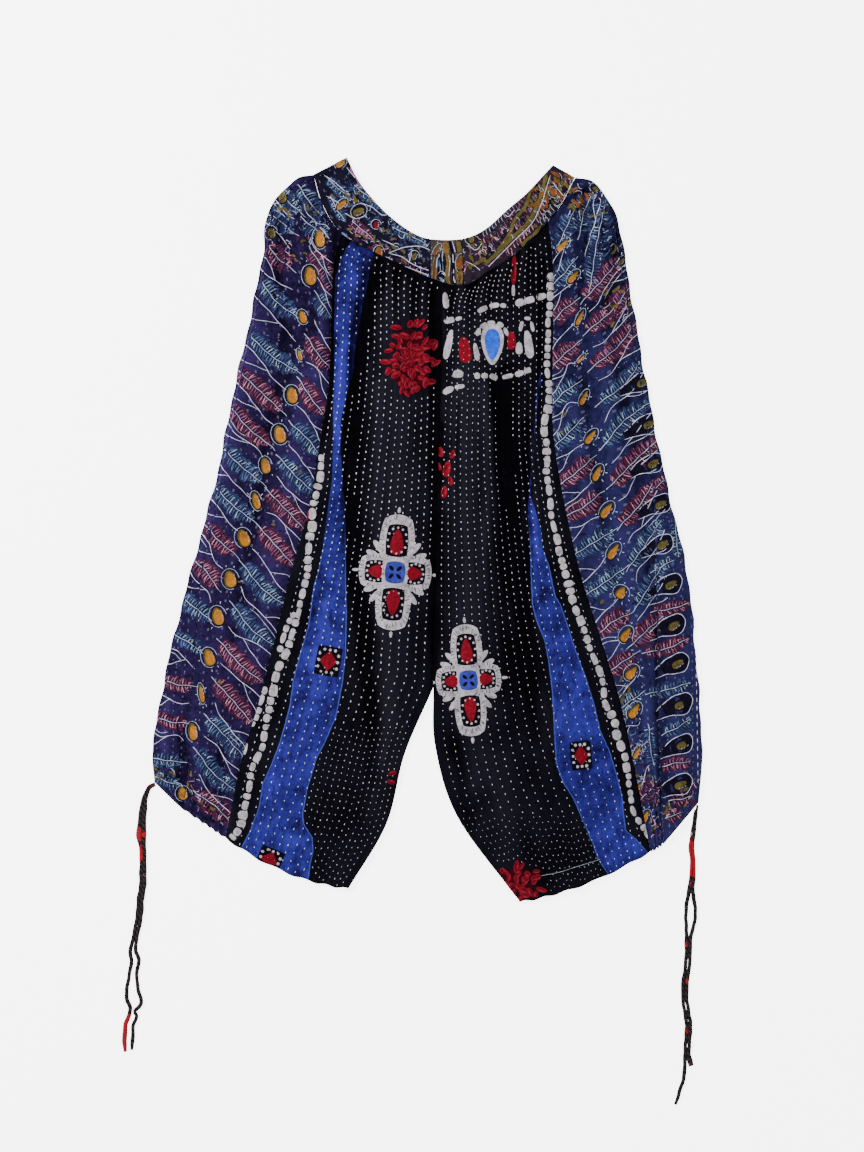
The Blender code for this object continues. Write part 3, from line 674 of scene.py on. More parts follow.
FINISHES = {   # deep tint, pale tint, patches, how pale
    "teal": ((26, 29, 62), (52, 64, 102), 300.0, 0.45),
    "teal_wash": ((22, 19, 50), (39, 44, 76), 200.0, 0.4),
    "teal_light": ((63, 82, 113), (102, 130, 168), 300.0, 0.42),
    "crimson": ((47, 18, 39), (85, 38, 59), 300.0, 0.45),
    "crimson_wash": ((40, 17, 44), (60, 32, 56), 200.0, 0.4),
    "crimson_light": ((101, 59, 86), (162, 101, 135), 300.0, 0.45),
    "teal_pale": ((108, 141, 164), (217, 237, 237), 200.0, 0.45),
    "crimson_pale": ((161, 92, 120), (237, 178, 198), 200.0, 0.5),
    "dark_veins": ((6.9, 4.5, 17), (22, 19, 37), 200.0, 0.4),
    "pale_veins": ((98, 100, 114), (191, 207, 234), 260.0, 0.5),
    "white_lines": ((137, 136, 202), (237, 237, 237), 200.0, 0.5),
    "gold": ((86, 57, 34), (184, 117, 33), 110.0, 0.62),
    "tan_print": ((70, 51, 34), (132, 100, 55), 200.0, 0.5),
    "olive": ((51, 46, 28), (102, 90, 46), 200.0, 0.5),
    "orange": ((71, 42, 26), (143, 79, 34), 200.0, 0.5),
    "red_print": ((63, 9.9, 20), (140, 22, 38), 260.0, 0.5),
    "red_light": ((107, 34, 47), (154, 56, 71), 160.0, 0.4),
    "red_shade": ((37, 3.6, 10.6), (66, 10.1, 19), 160.0, 0.4),
    "black_print": ((5.5, 3.8, 9.4), (20, 16, 26), 160.0, 0.4),
    "pebble_white": ((79, 76, 86), (194, 187, 194), 140.0, 0.6),
    "blue_print": ((28, 25, 92), (62, 73, 172), 200.0, 0.5),
    "bright_blue_print": ((34, 46, 146), (39, 103, 237), 200.0, 0.5),
    "running_stitches": ((116, 114, 137), (237, 237, 237), 60.0, 0.6),
}

# Each cloth's cut: width, length and area before it was gathered, in metres
CUTS = {
    "left_front_centre_panel": (0.235, 0.66, 0.118),
    "right_front_centre_panel": (0.235, 0.68, 0.122),
    "left_front_side_panel": (0.125, 0.68, 0.066),
    "right_front_side_panel": (0.125, 0.68, 0.066),
    "left_back_centre_panel": (0.235, 0.66, 0.118),
    "right_back_centre_panel": (0.235, 0.68, 0.122),
    "left_back_side_panel": (0.165, 0.68, 0.085),
    "right_back_side_panel": (0.165, 0.68, 0.085),
    "waistband_front_left": (0.05, 0.145, None),
    "waistband_centre_patch": (0.05, 0.036, None),
    "waistband_front_right": (0.055, 0.14, None),
    "waistband_back": (0.05, 0.30, None),
}

# The drawstrings' free ends, from the hem outwards
CORD_CLEAR = 0.1
CORD_SIDES = 12
CORD_TURNS = 0.12   # how much red and pale a cord has between its strong places
CORD_ROUTES = {
    "left_drawstring_long_end": (
        (-287.4, -265.6), (-295, -271), (-300.3, -285), (-303, -305), (-303, -322), (-301.5, -341),
        (-301.5, -359), (-301.5, -375), (-304, -389), (-304.5, -400), (-307, -417), (-310, -431),
        (-312.5, -444), (-311.5, -455), (-314, -470), (-316.5, -486), (-315.5, -496), (-312.5, -505),
        (-317.5, -521), (-318.5, -536), (-318, -549),
    ),
    "left_drawstring_short_end": (
        (-285.7, -269.3), (-291.8, -274), (-296.4, -287), (-298.5, -305), (-298.5, -322), (-297.5, -341),
        (-297.5, -359), (-297.5, -375), (-300, -389), (-300.5, -400), (-303, -417), (-306, -431),
        (-307, -442), (-303.5, -452), (-305.5, -463), (-305.5, -474), (-304, -485), (-301, -498),
        (-307.5, -506), (-306, -512), (-309.5, -522), (-310, -535), (-311, -547),
    ),
    "right_drawstring_long_end": (
        (280.5, -294.5), (278.8, -307), (277, -321), (275.5, -335), (277, -349), (276.5, -365),
        (274, -382), (272.3, -395), (271.6, -407), (272.2, -420), (272.2, -433), (272.2, -446),
        (271, -460), (269, -475), (268.5, -492), (270.5, -508), (272.5, -522), (271, -545),
        (270.5, -560), (269.5, -577), (265.5, -588), (263.5, -597), (260.5, -604.5),
    ),
    "right_drawstring_short_end": (
        (284.6, -289.8), (283, -307), (281, -321), (279.5, -335), (281, -349), (280.5, -365),
        (279.5, -380), (281, -394), (281.7, -405), (280, -416), (277, -427), (276.2, -436),
        (276.2, -448), (275, -461), (273, -476), (272.5, -491), (274.5, -507), (276.5, -522),
        (275, -545), (275, -556), (277.5, -564),
    ),
}
CORD_HALF = 2.1   # half a cord's usual width
# Where down the garment a cord is wider than that, or leans to one side, over what reach and by how much
CORD_WIDE = {
    "left_drawstring_long_end": ((-270, 16, -0.8), (-298, 16, 0.3), (-321, 8, 0.9), (-378, 10, 0.3),
                                 (-528, 24, 0.5)),
    "left_drawstring_short_end": ((-272, 16, -0.8), (-298, 16, 0.4), (-322, 7, 0.5), (-378, 14, 0.3)),
    "right_drawstring_long_end": ((-302, 20, -0.8), (-345, 20, -0.4), (-378, 10, 0.2)),
    "right_drawstring_short_end": ((-302, 20, -0.8), (-345, 20, -0.4), (-378, 10, 0.2), (-560, 8, 1.3)),
}
CORD_LEAN = {
    "left_drawstring_long_end": ((-270, 20, 0.95), (-300, 12, 0.8), (-322, 9, -0.5), (-345, 16, 0.5)),
    "left_drawstring_short_end": ((-270, 14, -1.0), (-299, 12, 0.6), (-321, 8, 0.4), (-378, 9, -0.4)),
    "right_drawstring_long_end": ((-300, 24, 1.0), (-345, 22, 0.6), (-379, 8, 0.7)),
    "right_drawstring_short_end": ((-300, 24, -1.0), (-345, 22, -0.6), (-379, 8, -0.7)),
}
# Which dye shows on a cord: from, to, how red and how pale
CORD_DYES = {
    "left_drawstring_long_end": (
        (-262, -276, 0.45, 0.1), (-284, -292, 0.3, 0.4), (-312, -329, 1.0, 0.0), (-329, -350, 0.75, 0.0),
        (-374, -382, 0.1, 0.4), (-508, -556, 1.0, 0.0),
    ),
    "left_drawstring_short_end": (
        (-262, -276, 0.45, 0.1), (-292, -301, 0.1, 0.35), (-316, -326, 0.6, 0.0), (-350, -384, 0.1, 0.3),
    ),
    "right_drawstring_long_end": (
        (-294, -310, 0.3, 0.3), (-314, -323, 0.0, 0.55), (-324, -366, 1.0, 0.0), (-366, -378, 0.45, 0.0),
        (-430, -442, 0.6, 0.0), (-520, -534, 0.5, 0.0),
    ),
    "right_drawstring_short_end": (
        (-290, -310, 0.35, 0.25), (-314, -323, 0.0, 0.45), (-326, -367, 1.0, 0.0),
        (-470, -480, 0.6, 0.1), (-556, -566, 0.4, 0.1),
    ),
}


def smooth_step(low, high, value):
    t = np.clip((np.asarray(value, dtype=float) - low) / (high - low), 0, 1)
    return t * t * (3 - 2 * t)


def curve_at(knots, places):
    """Points on a smooth curve through the knots, at places counted in knots from the first."""
    knots = np.asarray(knots, dtype=float)
    places = np.asarray(places, dtype=float)
    index = np.clip(places.astype(int), 0, len(knots) - 2)
    t = (places - index)[..., None]
    padded = np.concatenate(([2 * knots[0] - knots[1]], knots, [2 * knots[-1] - knots[-2]]))
    before, start, end, after = (padded[index + step] for step in range(4))
    leave = (end - before) / 2
    arrive = (after - start) / 2
    lasting = start * (2 * t**3 - 3 * t**2 + 1) + end * (3 * t**2 - 2 * t**3)
    return lasting + leave * (t**3 - 2 * t**2 + t) + arrive * (t**3 - t**2)


def travel(points):
    """How far along a line each of its points is."""
    return np.concatenate(([0], np.cumsum(np.linalg.norm(np.diff(points, axis=0), axis=1))))


def left_of(vectors):
    """Vectors in the plan turned a quarter to the left."""
    return np.stack((-vectors[..., 1], vectors[..., 0]), axis=-1)


def even_points(knots, spacing):
    """Points a spacing apart along the smooth curve through the knots."""
    fine = curve_at(knots, np.linspace(0, len(knots) - 1, 24 * len(knots)))
    travelled = travel(fine)
    count = max(2, round(travelled[-1] / spacing) + 1)
    stops = np.linspace(0, travelled[-1], count)
    return np.stack([np.interp(stops, travelled, fine[:, axis]) for axis in range(fine.shape[1])], axis=1)


def seam_line(leg, seam, row):
    """One of a leg's four lines (0 centre, 1 panel, 2 side, 3 outer fold) at sections down the leg."""
    points = [section[seam] for section in LEG_SECTIONS[leg]]
    if seam:
        return curve_at(points, row)
    upper = curve_at(points[:CROTCH_ROW + 1], np.minimum(row, CROTCH_ROW))
    lower = curve_at(points[CROTCH_ROW:], np.maximum(row - CROTCH_ROW, 0))
    return np.where((row <= CROTCH_ROW)[..., None], upper, lower)


def leg_plan(leg, station, row):
    """Places on a leg, seen from above, at stations across and sections down."""
    station, row = np.broadcast_arrays(np.asarray(station, dtype=float), np.asarray(row, dtype=float))
    point = 0
    at_waist = 0
    for seam in range(4):
        share = np.clip(1 - np.abs(station - seam), 0, 1)[..., None]
        point = point + share * seam_line(leg, seam, row)
        at_waist = at_waist + share * np.array(LEG_SECTIONS[leg][0][seam], dtype=float)
    lower_edge = [section[1] for section in BAND_SECTIONS]
    sewn_at = curve_at(lower_edge, np.interp(station, (0, 1, 2, 3), SEAMS_ON_BAND[leg]))
    pull = (1 - smooth_step(0, WAIST_BLEND, row))[..., None]
    point = point + pull * (sewn_at - at_waist)
    panel = np.clip(station.astype(int), 0, 2)
    across = station - panel
    bow = np.array(HEM_BOW[leg])[panel] * 4 * across * (1 - across)
    point[..., 1] -= smooth_step(HEM_BLEND, HEM_ROW, row) * bow
    y = point[..., 1]
    ripple = np.sin(0.13 * y + 1.3) * np.sin(0.047 * y) * (1 - smooth_step(HEM_BLEND, 10.3, row))
    point[..., 0] += 1.2 * np.clip(station - 2, 0, 1) * ripple
    drawn_in = np.sin(34 * station + 2 * np.sin(5 * station)) * np.clip(3 - station, 0, 0.3) * 3
    point[..., 1] += smooth_step(HEM_ROW - 0.5, HEM_ROW, row) * drawn_in
    return point


def panel_width(leg, panel, row):
    return np.linalg.norm(seam_line(leg, panel + 1, row) - seam_line(leg, panel, row), axis=-1)


def along_lines(points, x, y):
    """Distance of places from a line of points, and how far along it the nearest point is, 0 to 1."""
    nearest = np.full(np.shape(x), 1e9)
    share = np.zeros(np.shape(x))
    count = len(points) - 1
    for step in range(count):
        (x0, y0), (x1, y1) = points[step], points[step + 1]
        reach = (x1 - x0)**2 + (y1 - y0)**2
        t = np.clip(((x - x0) * (x1 - x0) + (y - y0) * (y1 - y0)) / reach, 0, 1)
        distance = np.hypot(x - x0 - t * (x1 - x0), y - y0 - t * (y1 - y0))
        closer = distance < nearest
        nearest = np.where(closer, distance, nearest)
        share = np.where(closer, (step + t) / count, share)
    return nearest, share


def relief(x, y):
    """How far the front's soft ridges and troughs lift it, in millimetres."""
    total = np.zeros(np.shape(x))
    for points, half_width, start_height, end_height in CREASES:
        distance, share = along_lines(points, x, y)
        height = start_height + (end_height - start_height) * share
        total += height * (0.5 + 0.5 * np.cos(math.pi * np.minimum(distance / half_width, 1)))
    sway = 0.7 * np.sin(0.031 * x + 0.019 * y + 1.1) * np.sin(0.043 * y - 0.017 * x)
    small = 0.35 * np.sin(0.19 * x + 0.6 * np.sin(0.05 * y)) * np.sin(0.083 * y + 0.9 * np.sin(0.07 * x))
    return total + sway + small


def hem_gathers(leg, station, row):
    """Shallow gathers that the drawstring pulls into the hem."""
    phase = 21 * station + 1.6 * np.sin(5.1 * station + (2 if leg == "left" else 4))
    return 0.9 * smooth_step(HEM_BLEND - 0.9, CASING_ROW, row) * np.sin(phase)


def front_height(leg, station, row):
    """Height of the front's upper face in millimetres."""
    station, row = np.broadcast_arrays(np.asarray(station, dtype=float), np.asarray(row, dtype=float))
    plan = leg_plan(leg, station, row)
    hem = smooth_step(CASING_ROW - 0.4, CASING_ROW, row)
    body = FRONT_TOP + (HEM_TOP - FRONT_TOP) * hem
    loft = LOFT * smooth_step(0, 0.8, row) * (1 - smooth_step(HEM_BLEND, HEM_ROW, row))
    loft = loft * smooth_step(3, 2.3, station)
    inseam = smooth_step(CROTCH_ROW, CROTCH_ROW + 0.7, row) * (1 - smooth_step(0, 0.16, station))
    loft = loft * (1 - inseam)
    shape = relief(plan[..., 0], plan[..., 1]) * (1 - 0.6 * hem) * (1 - 0.7 * inseam)
    height = body + loft + shape + hem_gathers(leg, station, row)
    for seam, depth in ((0, SEAM_DIP), (1, SEAM_DIP), (2, 0.15 * SEAM_DIP)):
        side = panel_width(leg, max(seam - 1, 0), row) if seam else panel_width(leg, 0, row)
        side = np.where(station >= seam, panel_width(leg, min(seam, 2), row), side)
        height = height - depth * np.exp(-np.abs(station - seam) * side / SEAM_DIP_REACH)
    height = height - 0.7 * np.exp(-row / 0.1) - 0.8 * np.exp(-np.abs(row - CASING_ROW + 0.1) / 0.06)
    return LOWEST_FRONT + np.logaddexp(0, LOWEST_SOFTNESS * (height - LOWEST_FRONT)) / LOWEST_SOFTNESS


def row_ladder(leg, spacing):
    """Sections down a leg that lie a spacing apart, and how far each is from the waist, in millimetres."""
    rows = np.linspace(0, HEM_ROW, 441)
    middle = (seam_line(leg, 0, rows) + 2 * seam_line(leg, 1, rows) + seam_line(leg, 2, rows)) / 4
    travelled = travel(middle)
    stops = np.linspace(0, travelled[-1], round(travelled[-1] / spacing) + 1)
    return np.interp(stops, travelled, rows), stops


def band_edges(place):
    """Upper and lower edges of the waistband at places along it, the lower one drawn in a little."""
    upper = curve_at([section[0] for section in BAND_SECTIONS], place)
    lower = curve_at([section[1] for section in BAND_SECTIONS], place)
    step = upper - lower
    return upper, lower + step / np.linalg.norm(step, axis=-1)[..., None] * BAND_INSET


def band_plan(place, across):
    """Places on the waistband, seen from above: along it in sections, across it 0 to 1 from its top."""
    place, across = np.broadcast_arrays(np.asarray(place, dtype=float), np.asarray(across, dtype=float))
    upper, lower = band_edges(place)
    return upper + (lower - upper) * across[..., None]


# Cloth

def relief_shade_and_wear(x, y):
    """How pale a place of the front is painted, 0 to 1: paler where it is proud, as painted light with some
    fading, darker in its troughs and among the waist gathers, as painted shade.
    """
    return np.clip(0.4 + relief(x, y) / 4.6, 0, 1) * (1 - 0.55 * smooth_step(150, 280, y))


def side_shade_and_wear(x, y):
    """The front's painted light and shade with its fading, and paler still down the right side panel, where
    the garment has been rubbed paler.
    """
    return np.clip(relief_shade_and_wear(x, y) + 0.3 * smooth_step(110, 190, x) * smooth_step(200, -120, y), 0, 1)


def stripe_reach(leg, x, y):
    """How far inside the blue stripe a place is, in millimetres, less than 0 outside it."""
    inner = np.array(STRIPE_EDGES[f"{leg}_inner_edge"], dtype=float)
    outer = np.array(STRIPE_EDGES[f"{leg}_outer_edge"], dtype=float)
    starts = np.interp(-y, -inner[:, 1], inner[:, 0])
    ends = np.interp(-y, -outer[:, 1], outer[:, 0])
    below_top = min(inner[0, 1], outer[0, 1]) - y
    return np.clip(np.minimum(np.minimum(x - starts, ends - x), below_top + 6), -12, 12)


def mesh_from(bm, name):
    """The mesh of a working one, which is freed."""
    mesh = bpy.data.meshes.new(name)
    bm.to_mesh(mesh)
    bm.free()
    return mesh


def add_object(name, data):
    thing = bpy.data.objects.new(name, data)
    bpy.context.collection.objects.link(thing)
    return thing


def add_uvs(mesh, name, values):
    """A UV layer from a value for each vertex."""
    corners = np.zeros(len(mesh.loops), dtype=int)
    mesh.loops.foreach_get("vertex_index", corners)
    layer = mesh.uv_layers.new(name=name)
    layer.data.foreach_set("uv", values[corners].ravel())


def lay_cloth(name, place, cut, marks, thickness, slot, material, facing):
    """A piece of cloth: a grid laid over its outer face and thickened inwards.

    place is the outer face, rows by columns by X, Y, Z in millimetres. cut is where each place is on the
    cloth before it was sewn, counted in stitches. marks are named values over the cloth. facing is 1 where
    its outer face looks up and -1 where it looks down.
    """
    rows, columns = place.shape[:2]
    bm = bmesh.new()
    bmesh.ops.create_grid(bm, x_segments=columns - 1, y_segments=rows - 1, size=1)
    mesh = mesh_from(bm, f"{name}_cloth")
    mesh.vertices.foreach_set("co", (place * MM).ravel())
    while mesh.uv_layers:
        mesh.uv_layers.remove(mesh.uv_layers[0])
    add_uvs(mesh, "cut", cut.reshape(-1, 2))
    for label, values in marks.items():
        layer = mesh.attributes.new(label, "FLOAT", "POINT")
        layer.data.foreach_set("value", values.ravel())
    mesh.update()
    highest = max(mesh.polygons, key=lambda face: face.center.z)
    if (highest.normal.z > 0) != (highest.center.z > BETWEEN_LAYERS * MM):
        mesh.flip_normals()
    mesh.shade_smooth()
    bm = bmesh.new()
    bm.from_mesh(mesh)
    surfaces[name] = (BVHTree.FromBMesh(bm), facing, slot)
    bm.free()
    piece = add_object(f"{name}_cloth", mesh)
    shell = piece.modifiers.new("cloth", "SOLIDIFY")
    shell.thickness = thickness * MM
    shell.offset = -1
    mesh.materials.append(material)
    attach(piece, "root")
    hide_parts(name)


def inset_stations(leg, panel, row, count):
    """Stations across a panel at each section, both ends a seam inset short."""
    width = panel_width(leg, panel, row)
    inset = SEAM_INSET / np.maximum(width, 1)
    return panel + inset[:, None] + np.linspace(0, 1, count)[None, :] * (1 - 2 * inset[:, None])


def panel_face(leg, panel, count, spacing, facing):
    """Outer face of a panel, where each place is on the cut, and the face seen from above."""
    rows, travelled = row_ladder(leg, spacing)
    stations = inset_stations(leg, panel, rows, count)
    row_grid = np.broadcast_to(rows[:, None], stations.shape)
    plan = leg_plan(leg, stations, row_grid)
    height = front_height(leg, stations, row_grid) if facing > 0 else np.full(stations.shape, UNDERSIDE)
    place = np.concatenate((plan, height[..., None]), axis=-1)
    if (leg, panel) == ("left", 0):
        place[rows < CROTCH_ROW, 0] += (SEAM_TUCK, 0, -facing * SEAM_TUCK)
    hem_width = panel_width(leg, panel, np.array([HEM_WIDTH_ROW]))[0]
    down = np.broadcast_to((travelled / THREAD_PITCH)[:, None], stations.shape)
    return place, np.stack(((stations - panel) * hem_width / THREAD_PITCH, down), axis=-1), plan


def turned_face(leg, strip_count, fold_count, under_count, spacing):
    """Outer face of a back side panel: a strip on the front, round the fold, then the underside."""
    rows, travelled = row_ladder(leg, spacing)
    side = leg_plan(leg, 2, rows)
    fold = leg_plan(leg, 3, rows)
    reach = np.linalg.norm(fold - side, axis=-1)[:, None]
    outward = (fold - side) / reach
    radius = 0.5 * (FRONT_TOP - UNDERSIDE) + 0.25 * np.sin(rows * 3.1)
    turning = fold - outward * radius[:, None]
    start = side + outward * SEAM_INSET
    columns = []

    def add_column(plan, height):
        height = np.broadcast_to(height, len(rows))
        columns.append(np.concatenate((plan, height[:, None]), axis=1))

    for t in np.linspace(0, 1, strip_count):
        plan = start + (turning - start) * t
        proud = front_height(leg, np.full(len(rows), 2.0), rows) * (1 - t) + (2 * radius + UNDERSIDE) * t
        puff = math.sin(math.pi * t) * np.minimum(reach[:, 0] / 16, 1.5)
        lift = relief(plan[:, 0], plan[:, 1]) * math.sin(math.pi * t) * 0.8
        add_column(plan, np.maximum(proud + puff + lift, LOWEST_FRONT))
    for step in range(1, fold_count):
        angle = math.pi * (0.5 - step / fold_count)
        plan = turning + outward * radius[:, None] * math.cos(angle)
        add_column(plan, UNDERSIDE + radius + radius * math.sin(angle))
    add_column(turning, UNDERSIDE)
    width = panel_width(leg, 1, rows)
    for t in np.linspace(0, 1, under_count):
        station = 2 - t * (1 - SEAM_INSET / np.maximum(width, 1))
        add_column(leg_plan(leg, station, rows), UNDERSIDE)
    place = np.stack(columns, axis=1)
    steps = np.linalg.norm(np.diff(place, axis=1), axis=2)
    across = np.concatenate((np.zeros((len(rows), 1)), np.cumsum(steps, axis=1)), axis=1)
    down = np.broadcast_to(travelled[:, None], across.shape)
    return place, np.stack((across, down), axis=-1) / THREAD_PITCH


def band_height(place, across):
    """Height of the front waistband: rounded at both edges, with gathers showing along its seam."""
    crown = 1.5 * np.sin(math.pi * np.clip(across, 0.03, 0.97))**0.7
    gathers = 0.55 * across * np.sin(place * 11.3 + 1.7 * np.sin(place * 3.1))
    waves = 0.5 * np.sin(place * 2.3 + 0.8) * (1 - across)
    return BAND_TOP + crown + gathers + waves


def band_face(start, end, count_along, count_down, turns_at_start, turns_at_end):
    """Outer face of a front waistband piece, turning under at a side fold."""
    radius = (BAND_TOP - UNDERSIDE) / 2
    across = np.linspace(0, 1, count_down)
    lines = []

    def end_line(place, inward, reach, height):
        edge = band_plan(np.full(count_down, place), across)
        beyond = band_plan(np.full(count_down, place + inward * 0.5), across)
        edge = edge + (beyond - edge) / np.linalg.norm(beyond - edge, axis=1)[:, None] * reach
        return np.concatenate((edge, np.full((count_down, 1), height)), axis=1)

    def fold_lines(place, inward):
        turned = [end_line(place, inward, radius + BAND_END, UNDERSIDE)]
        for step in range(9):
            angle = math.pi * (step / 8 - 0.5)
            height = UNDERSIDE + radius * (1 + math.sin(angle))
            turned.append(end_line(place, inward, radius * (1 - math.cos(angle)), height))
        return turned

    if turns_at_start:
        lines += fold_lines(start, 1)
    for place in np.linspace(start, end, count_along):
        if turns_at_start and place < start + 0.3 or turns_at_end and place > end - 0.3:
            continue
        from_start = place - start if turns_at_start else FAR
        from_end = end - place if turns_at_end else FAR
        ease = smooth_step(0, 0.9, min(from_start, from_end))
        plan = band_plan(np.full(count_down, place), across)
        height = band_height(place, across) * ease + BAND_TOP * (1 - ease)
        lines.append(np.concatenate((plan, height[:, None]), axis=1))
    if turns_at_end:
        lines += fold_lines(end, -1)[::-1]
    place = np.stack(lines)
    down = travel(place[:, 0])[:, None] * np.ones(count_down)
    width = np.linalg.norm(place[:, -1, :2] - place[:, 0, :2], axis=1)[:, None] * across[None, :]
    return place, np.stack((width, down), axis=-1) / THREAD_PITCH


# Flat prints and threads. Each is shaped in millimetres with Z its height above the cloth, then laid on it.

prints = {}
FULL_SHEET = 1500
PRINT_LIFT = {   # how far above the cloth each finish lies, so that later printings cover earlier ones
    "crimson_wash": 0.06, "teal_wash": 0.06, "crimson": 0.1, "crimson_light": 0.14, "teal_light": 0.15,
    "crimson_pale": 0.17, "teal_pale": 0.17, "dark_veins": 0.2, "white_lines": 0.24, "pale_veins": 0.26,
    "gold": 0.32, "orange": 0.35, "olive": 0.29, "tan_print": 0.32, "red_shade": 0.2, "red_light": 0.2}
USUAL_LIFT = 0.12


def ink(panel, finish):
    """A flat mesh for a finish's shapes on a panel. A full one is followed by another, which is quicker."""
    sheets = prints.setdefault((panel, finish), [])
    if not sheets or len(sheets[-1].verts) > FULL_SHEET:
        sheets.append(bmesh.new())
    return sheets[-1]


def ribbon(panel, finish, line, widths, height=0.0):
    """A narrow stroke along a line of points, with a width at each point."""
    line = np.asarray(line, dtype=float)
    widths = np.broadcast_to(np.asarray(widths, dtype=float), (len(line),))
    along = np.gradient(line, axis=0)
    along = along / np.maximum(np.linalg.norm(along, axis=1), 1e-6)[:, None]
    beside = left_of(along) * widths[:, None] / 2
    cells = len(line) - 1
    grid = bmesh.ops.create_grid(ink(panel, finish), x_segments=1, y_segments=cells, size=1)["verts"]
    for place in range(len(line)):
        grid[2 * place].co = (*(line[place] + beside[place]), height)
        grid[2 * place + 1].co = (*(line[place] - beside[place]), height)


def blob(panel, finish, centre, along, across, roundness, cells, dome, taper, height):
    """A filled spot: a square of cells rounded by roundness, between two half axes, its far end tapered."""
    grid = bmesh.ops.create_grid(ink(panel, finish), x_segments=cells, y_segments=cells, size=1)["verts"]
    centre, along, across = (np.asarray(vector, dtype=float) for vector in (centre, along, across))
    for vert in grid:
        u, v = vert.co.x, vert.co.y
        round_u = u * math.sqrt(1 - v * v / 2)
        round_v = v * math.sqrt(1 - u * u / 2)
        u_place = u + (round_u - u) * roundness
        v_place = v + (round_v - v) * roundness
        narrow = 1 - taper * (0.5 + 0.5 * v_place)
        x, y = centre + along * v_place + across * u_place * narrow
        vert.co = (x, y, height + dome * (1 - max(abs(u), abs(v))**2))


def turn(degrees, length):
    return np.array((math.cos(math.radians(degrees)), math.sin(math.radians(degrees)))) * length


def unit(vector):
    return vector / max(np.linalg.norm(vector), 1e-6)


def frond(panel, tint, start, end, half_width, chance, tails=(0, 0)):
    """A frond: ragged leaflets in pairs under curled pale strokes, its midrib running on by its tails."""
    start, end = np.array(start, dtype=float), np.array(end, dtype=float)
    length = np.linalg.norm(end - start)
    forward = (end - start) / length
    beside = left_of(forward)
    sag = chance.uniform(-0.08, 0.08) * length
    rib = even_points([start, (start + end) / 2 + beside * sag, end], 3.4)
    count = max(5, round(length / 3.2))
    for step in range(count):
        share = (step + 0.5) / count
        root = curve_at(rib, np.array([share * (len(rib) - 1)]))[0]
        fullness = min(1.0, 0.66 + 1.6 * share, 2.8 * (1 - share) + 0.25)
        for side in (-1, 1):
            reach = half_width * fullness * chance.uniform(0.78, 1.12)
            lean = forward * reach * chance.uniform(0.02, 0.5)
            tip = root + beside * side * reach * 0.92 + lean
            bend = root + beside * side * reach * 0.5 + lean * 0.15
            leaflet = np.stack((root, (root + 2 * bend + tip) / 4, (bend + tip) / 2, tip))
            ribbon(panel, f"{tint}_wash", leaflet - forward * 1.4, (1.8, 3.6, 3.4, 1.4))
            ribbon(panel, tint, leaflet, np.array((1.1, 2.5, 2.9, 1.5)) * chance.uniform(0.7, 1.2))
            for finish, share_drawn, width in ((f"{tint}_light", 0.9, 0.9), (f"{tint}_pale", 0.36, 0.55)):
                if chance.random() > share_drawn:
                    continue
                curl = forward * chance.choice((-1, 1)) * chance.uniform(0.7, 1.5)
                stroke = leaflet * 0.9 + root * 0.1 + np.outer((0, 0.6, 1, 1.3), curl)
                stroke[0] = root + beside * side * 1.3
                if chance.random() < 0.5:
                    stroke[3] = stroke[2] + forward * chance.uniform(1.2, 2.8) - beside * side * 0.9
                widths = np.array((0.5, 1, 0.9, 0.4)) * width * chance.uniform(0.6, 1.3)
                ribbon(panel, finish, stroke, widths)
            if chance.random() < 0.75:
                gap = leaflet * 0.95 + root * 0.05 + forward * chance.uniform(1.0, 1.6)
                widths = np.array((0.3, 0.9, 0.9, 0.5)) * chance.uniform(0.6, 1.2)
                ribbon(panel, "dark_veins", gap, widths)
    before = [start - forward * tails[0]] if tails[0] else []
    after = [end + forward * tails[1]] if tails[1] else []
    midrib = even_points([*before, start, (start + end) / 2 + beside * sag, end, *after], 3.4)
    midrib = midrib + beside * 0.35 * np.sin(np.arange(len(midrib)) * 1.3 + sag)[:, None]
    taper = np.linspace(0.8, 0.5, len(midrib)) * chance.uniform(0.75, 1.2, len(midrib))
    ribbon(panel, "pale_veins", midrib, taper)
    ribbon(panel, "dark_veins", midrib[1:-1] + (0.4, -0.7), taper[1:-1] * 1.3)


def hand_line(panel, finish, points, width, chance, height=0.0):
    """A thin line through points that wavers a little, as a hand draws it."""
    path = even_points(points, 1.4 if "edge" in panel else 2.2)
    beside = left_of(np.gradient(path, axis=0))
    sway = 0.2 * np.sin(np.arange(len(path)) * chance.uniform(0.35, 0.7) + chance.uniform(0, 6))
    path = path + beside * sway[:, None]
    widths = np.linspace(width, width * 0.7, len(path)) * (1 + 0.2 * np.sin(np.arange(len(path)) * 0.9))
    widths[[0, -1]] = 0.2
    ribbon(panel, finish, path, widths, height)
    return path


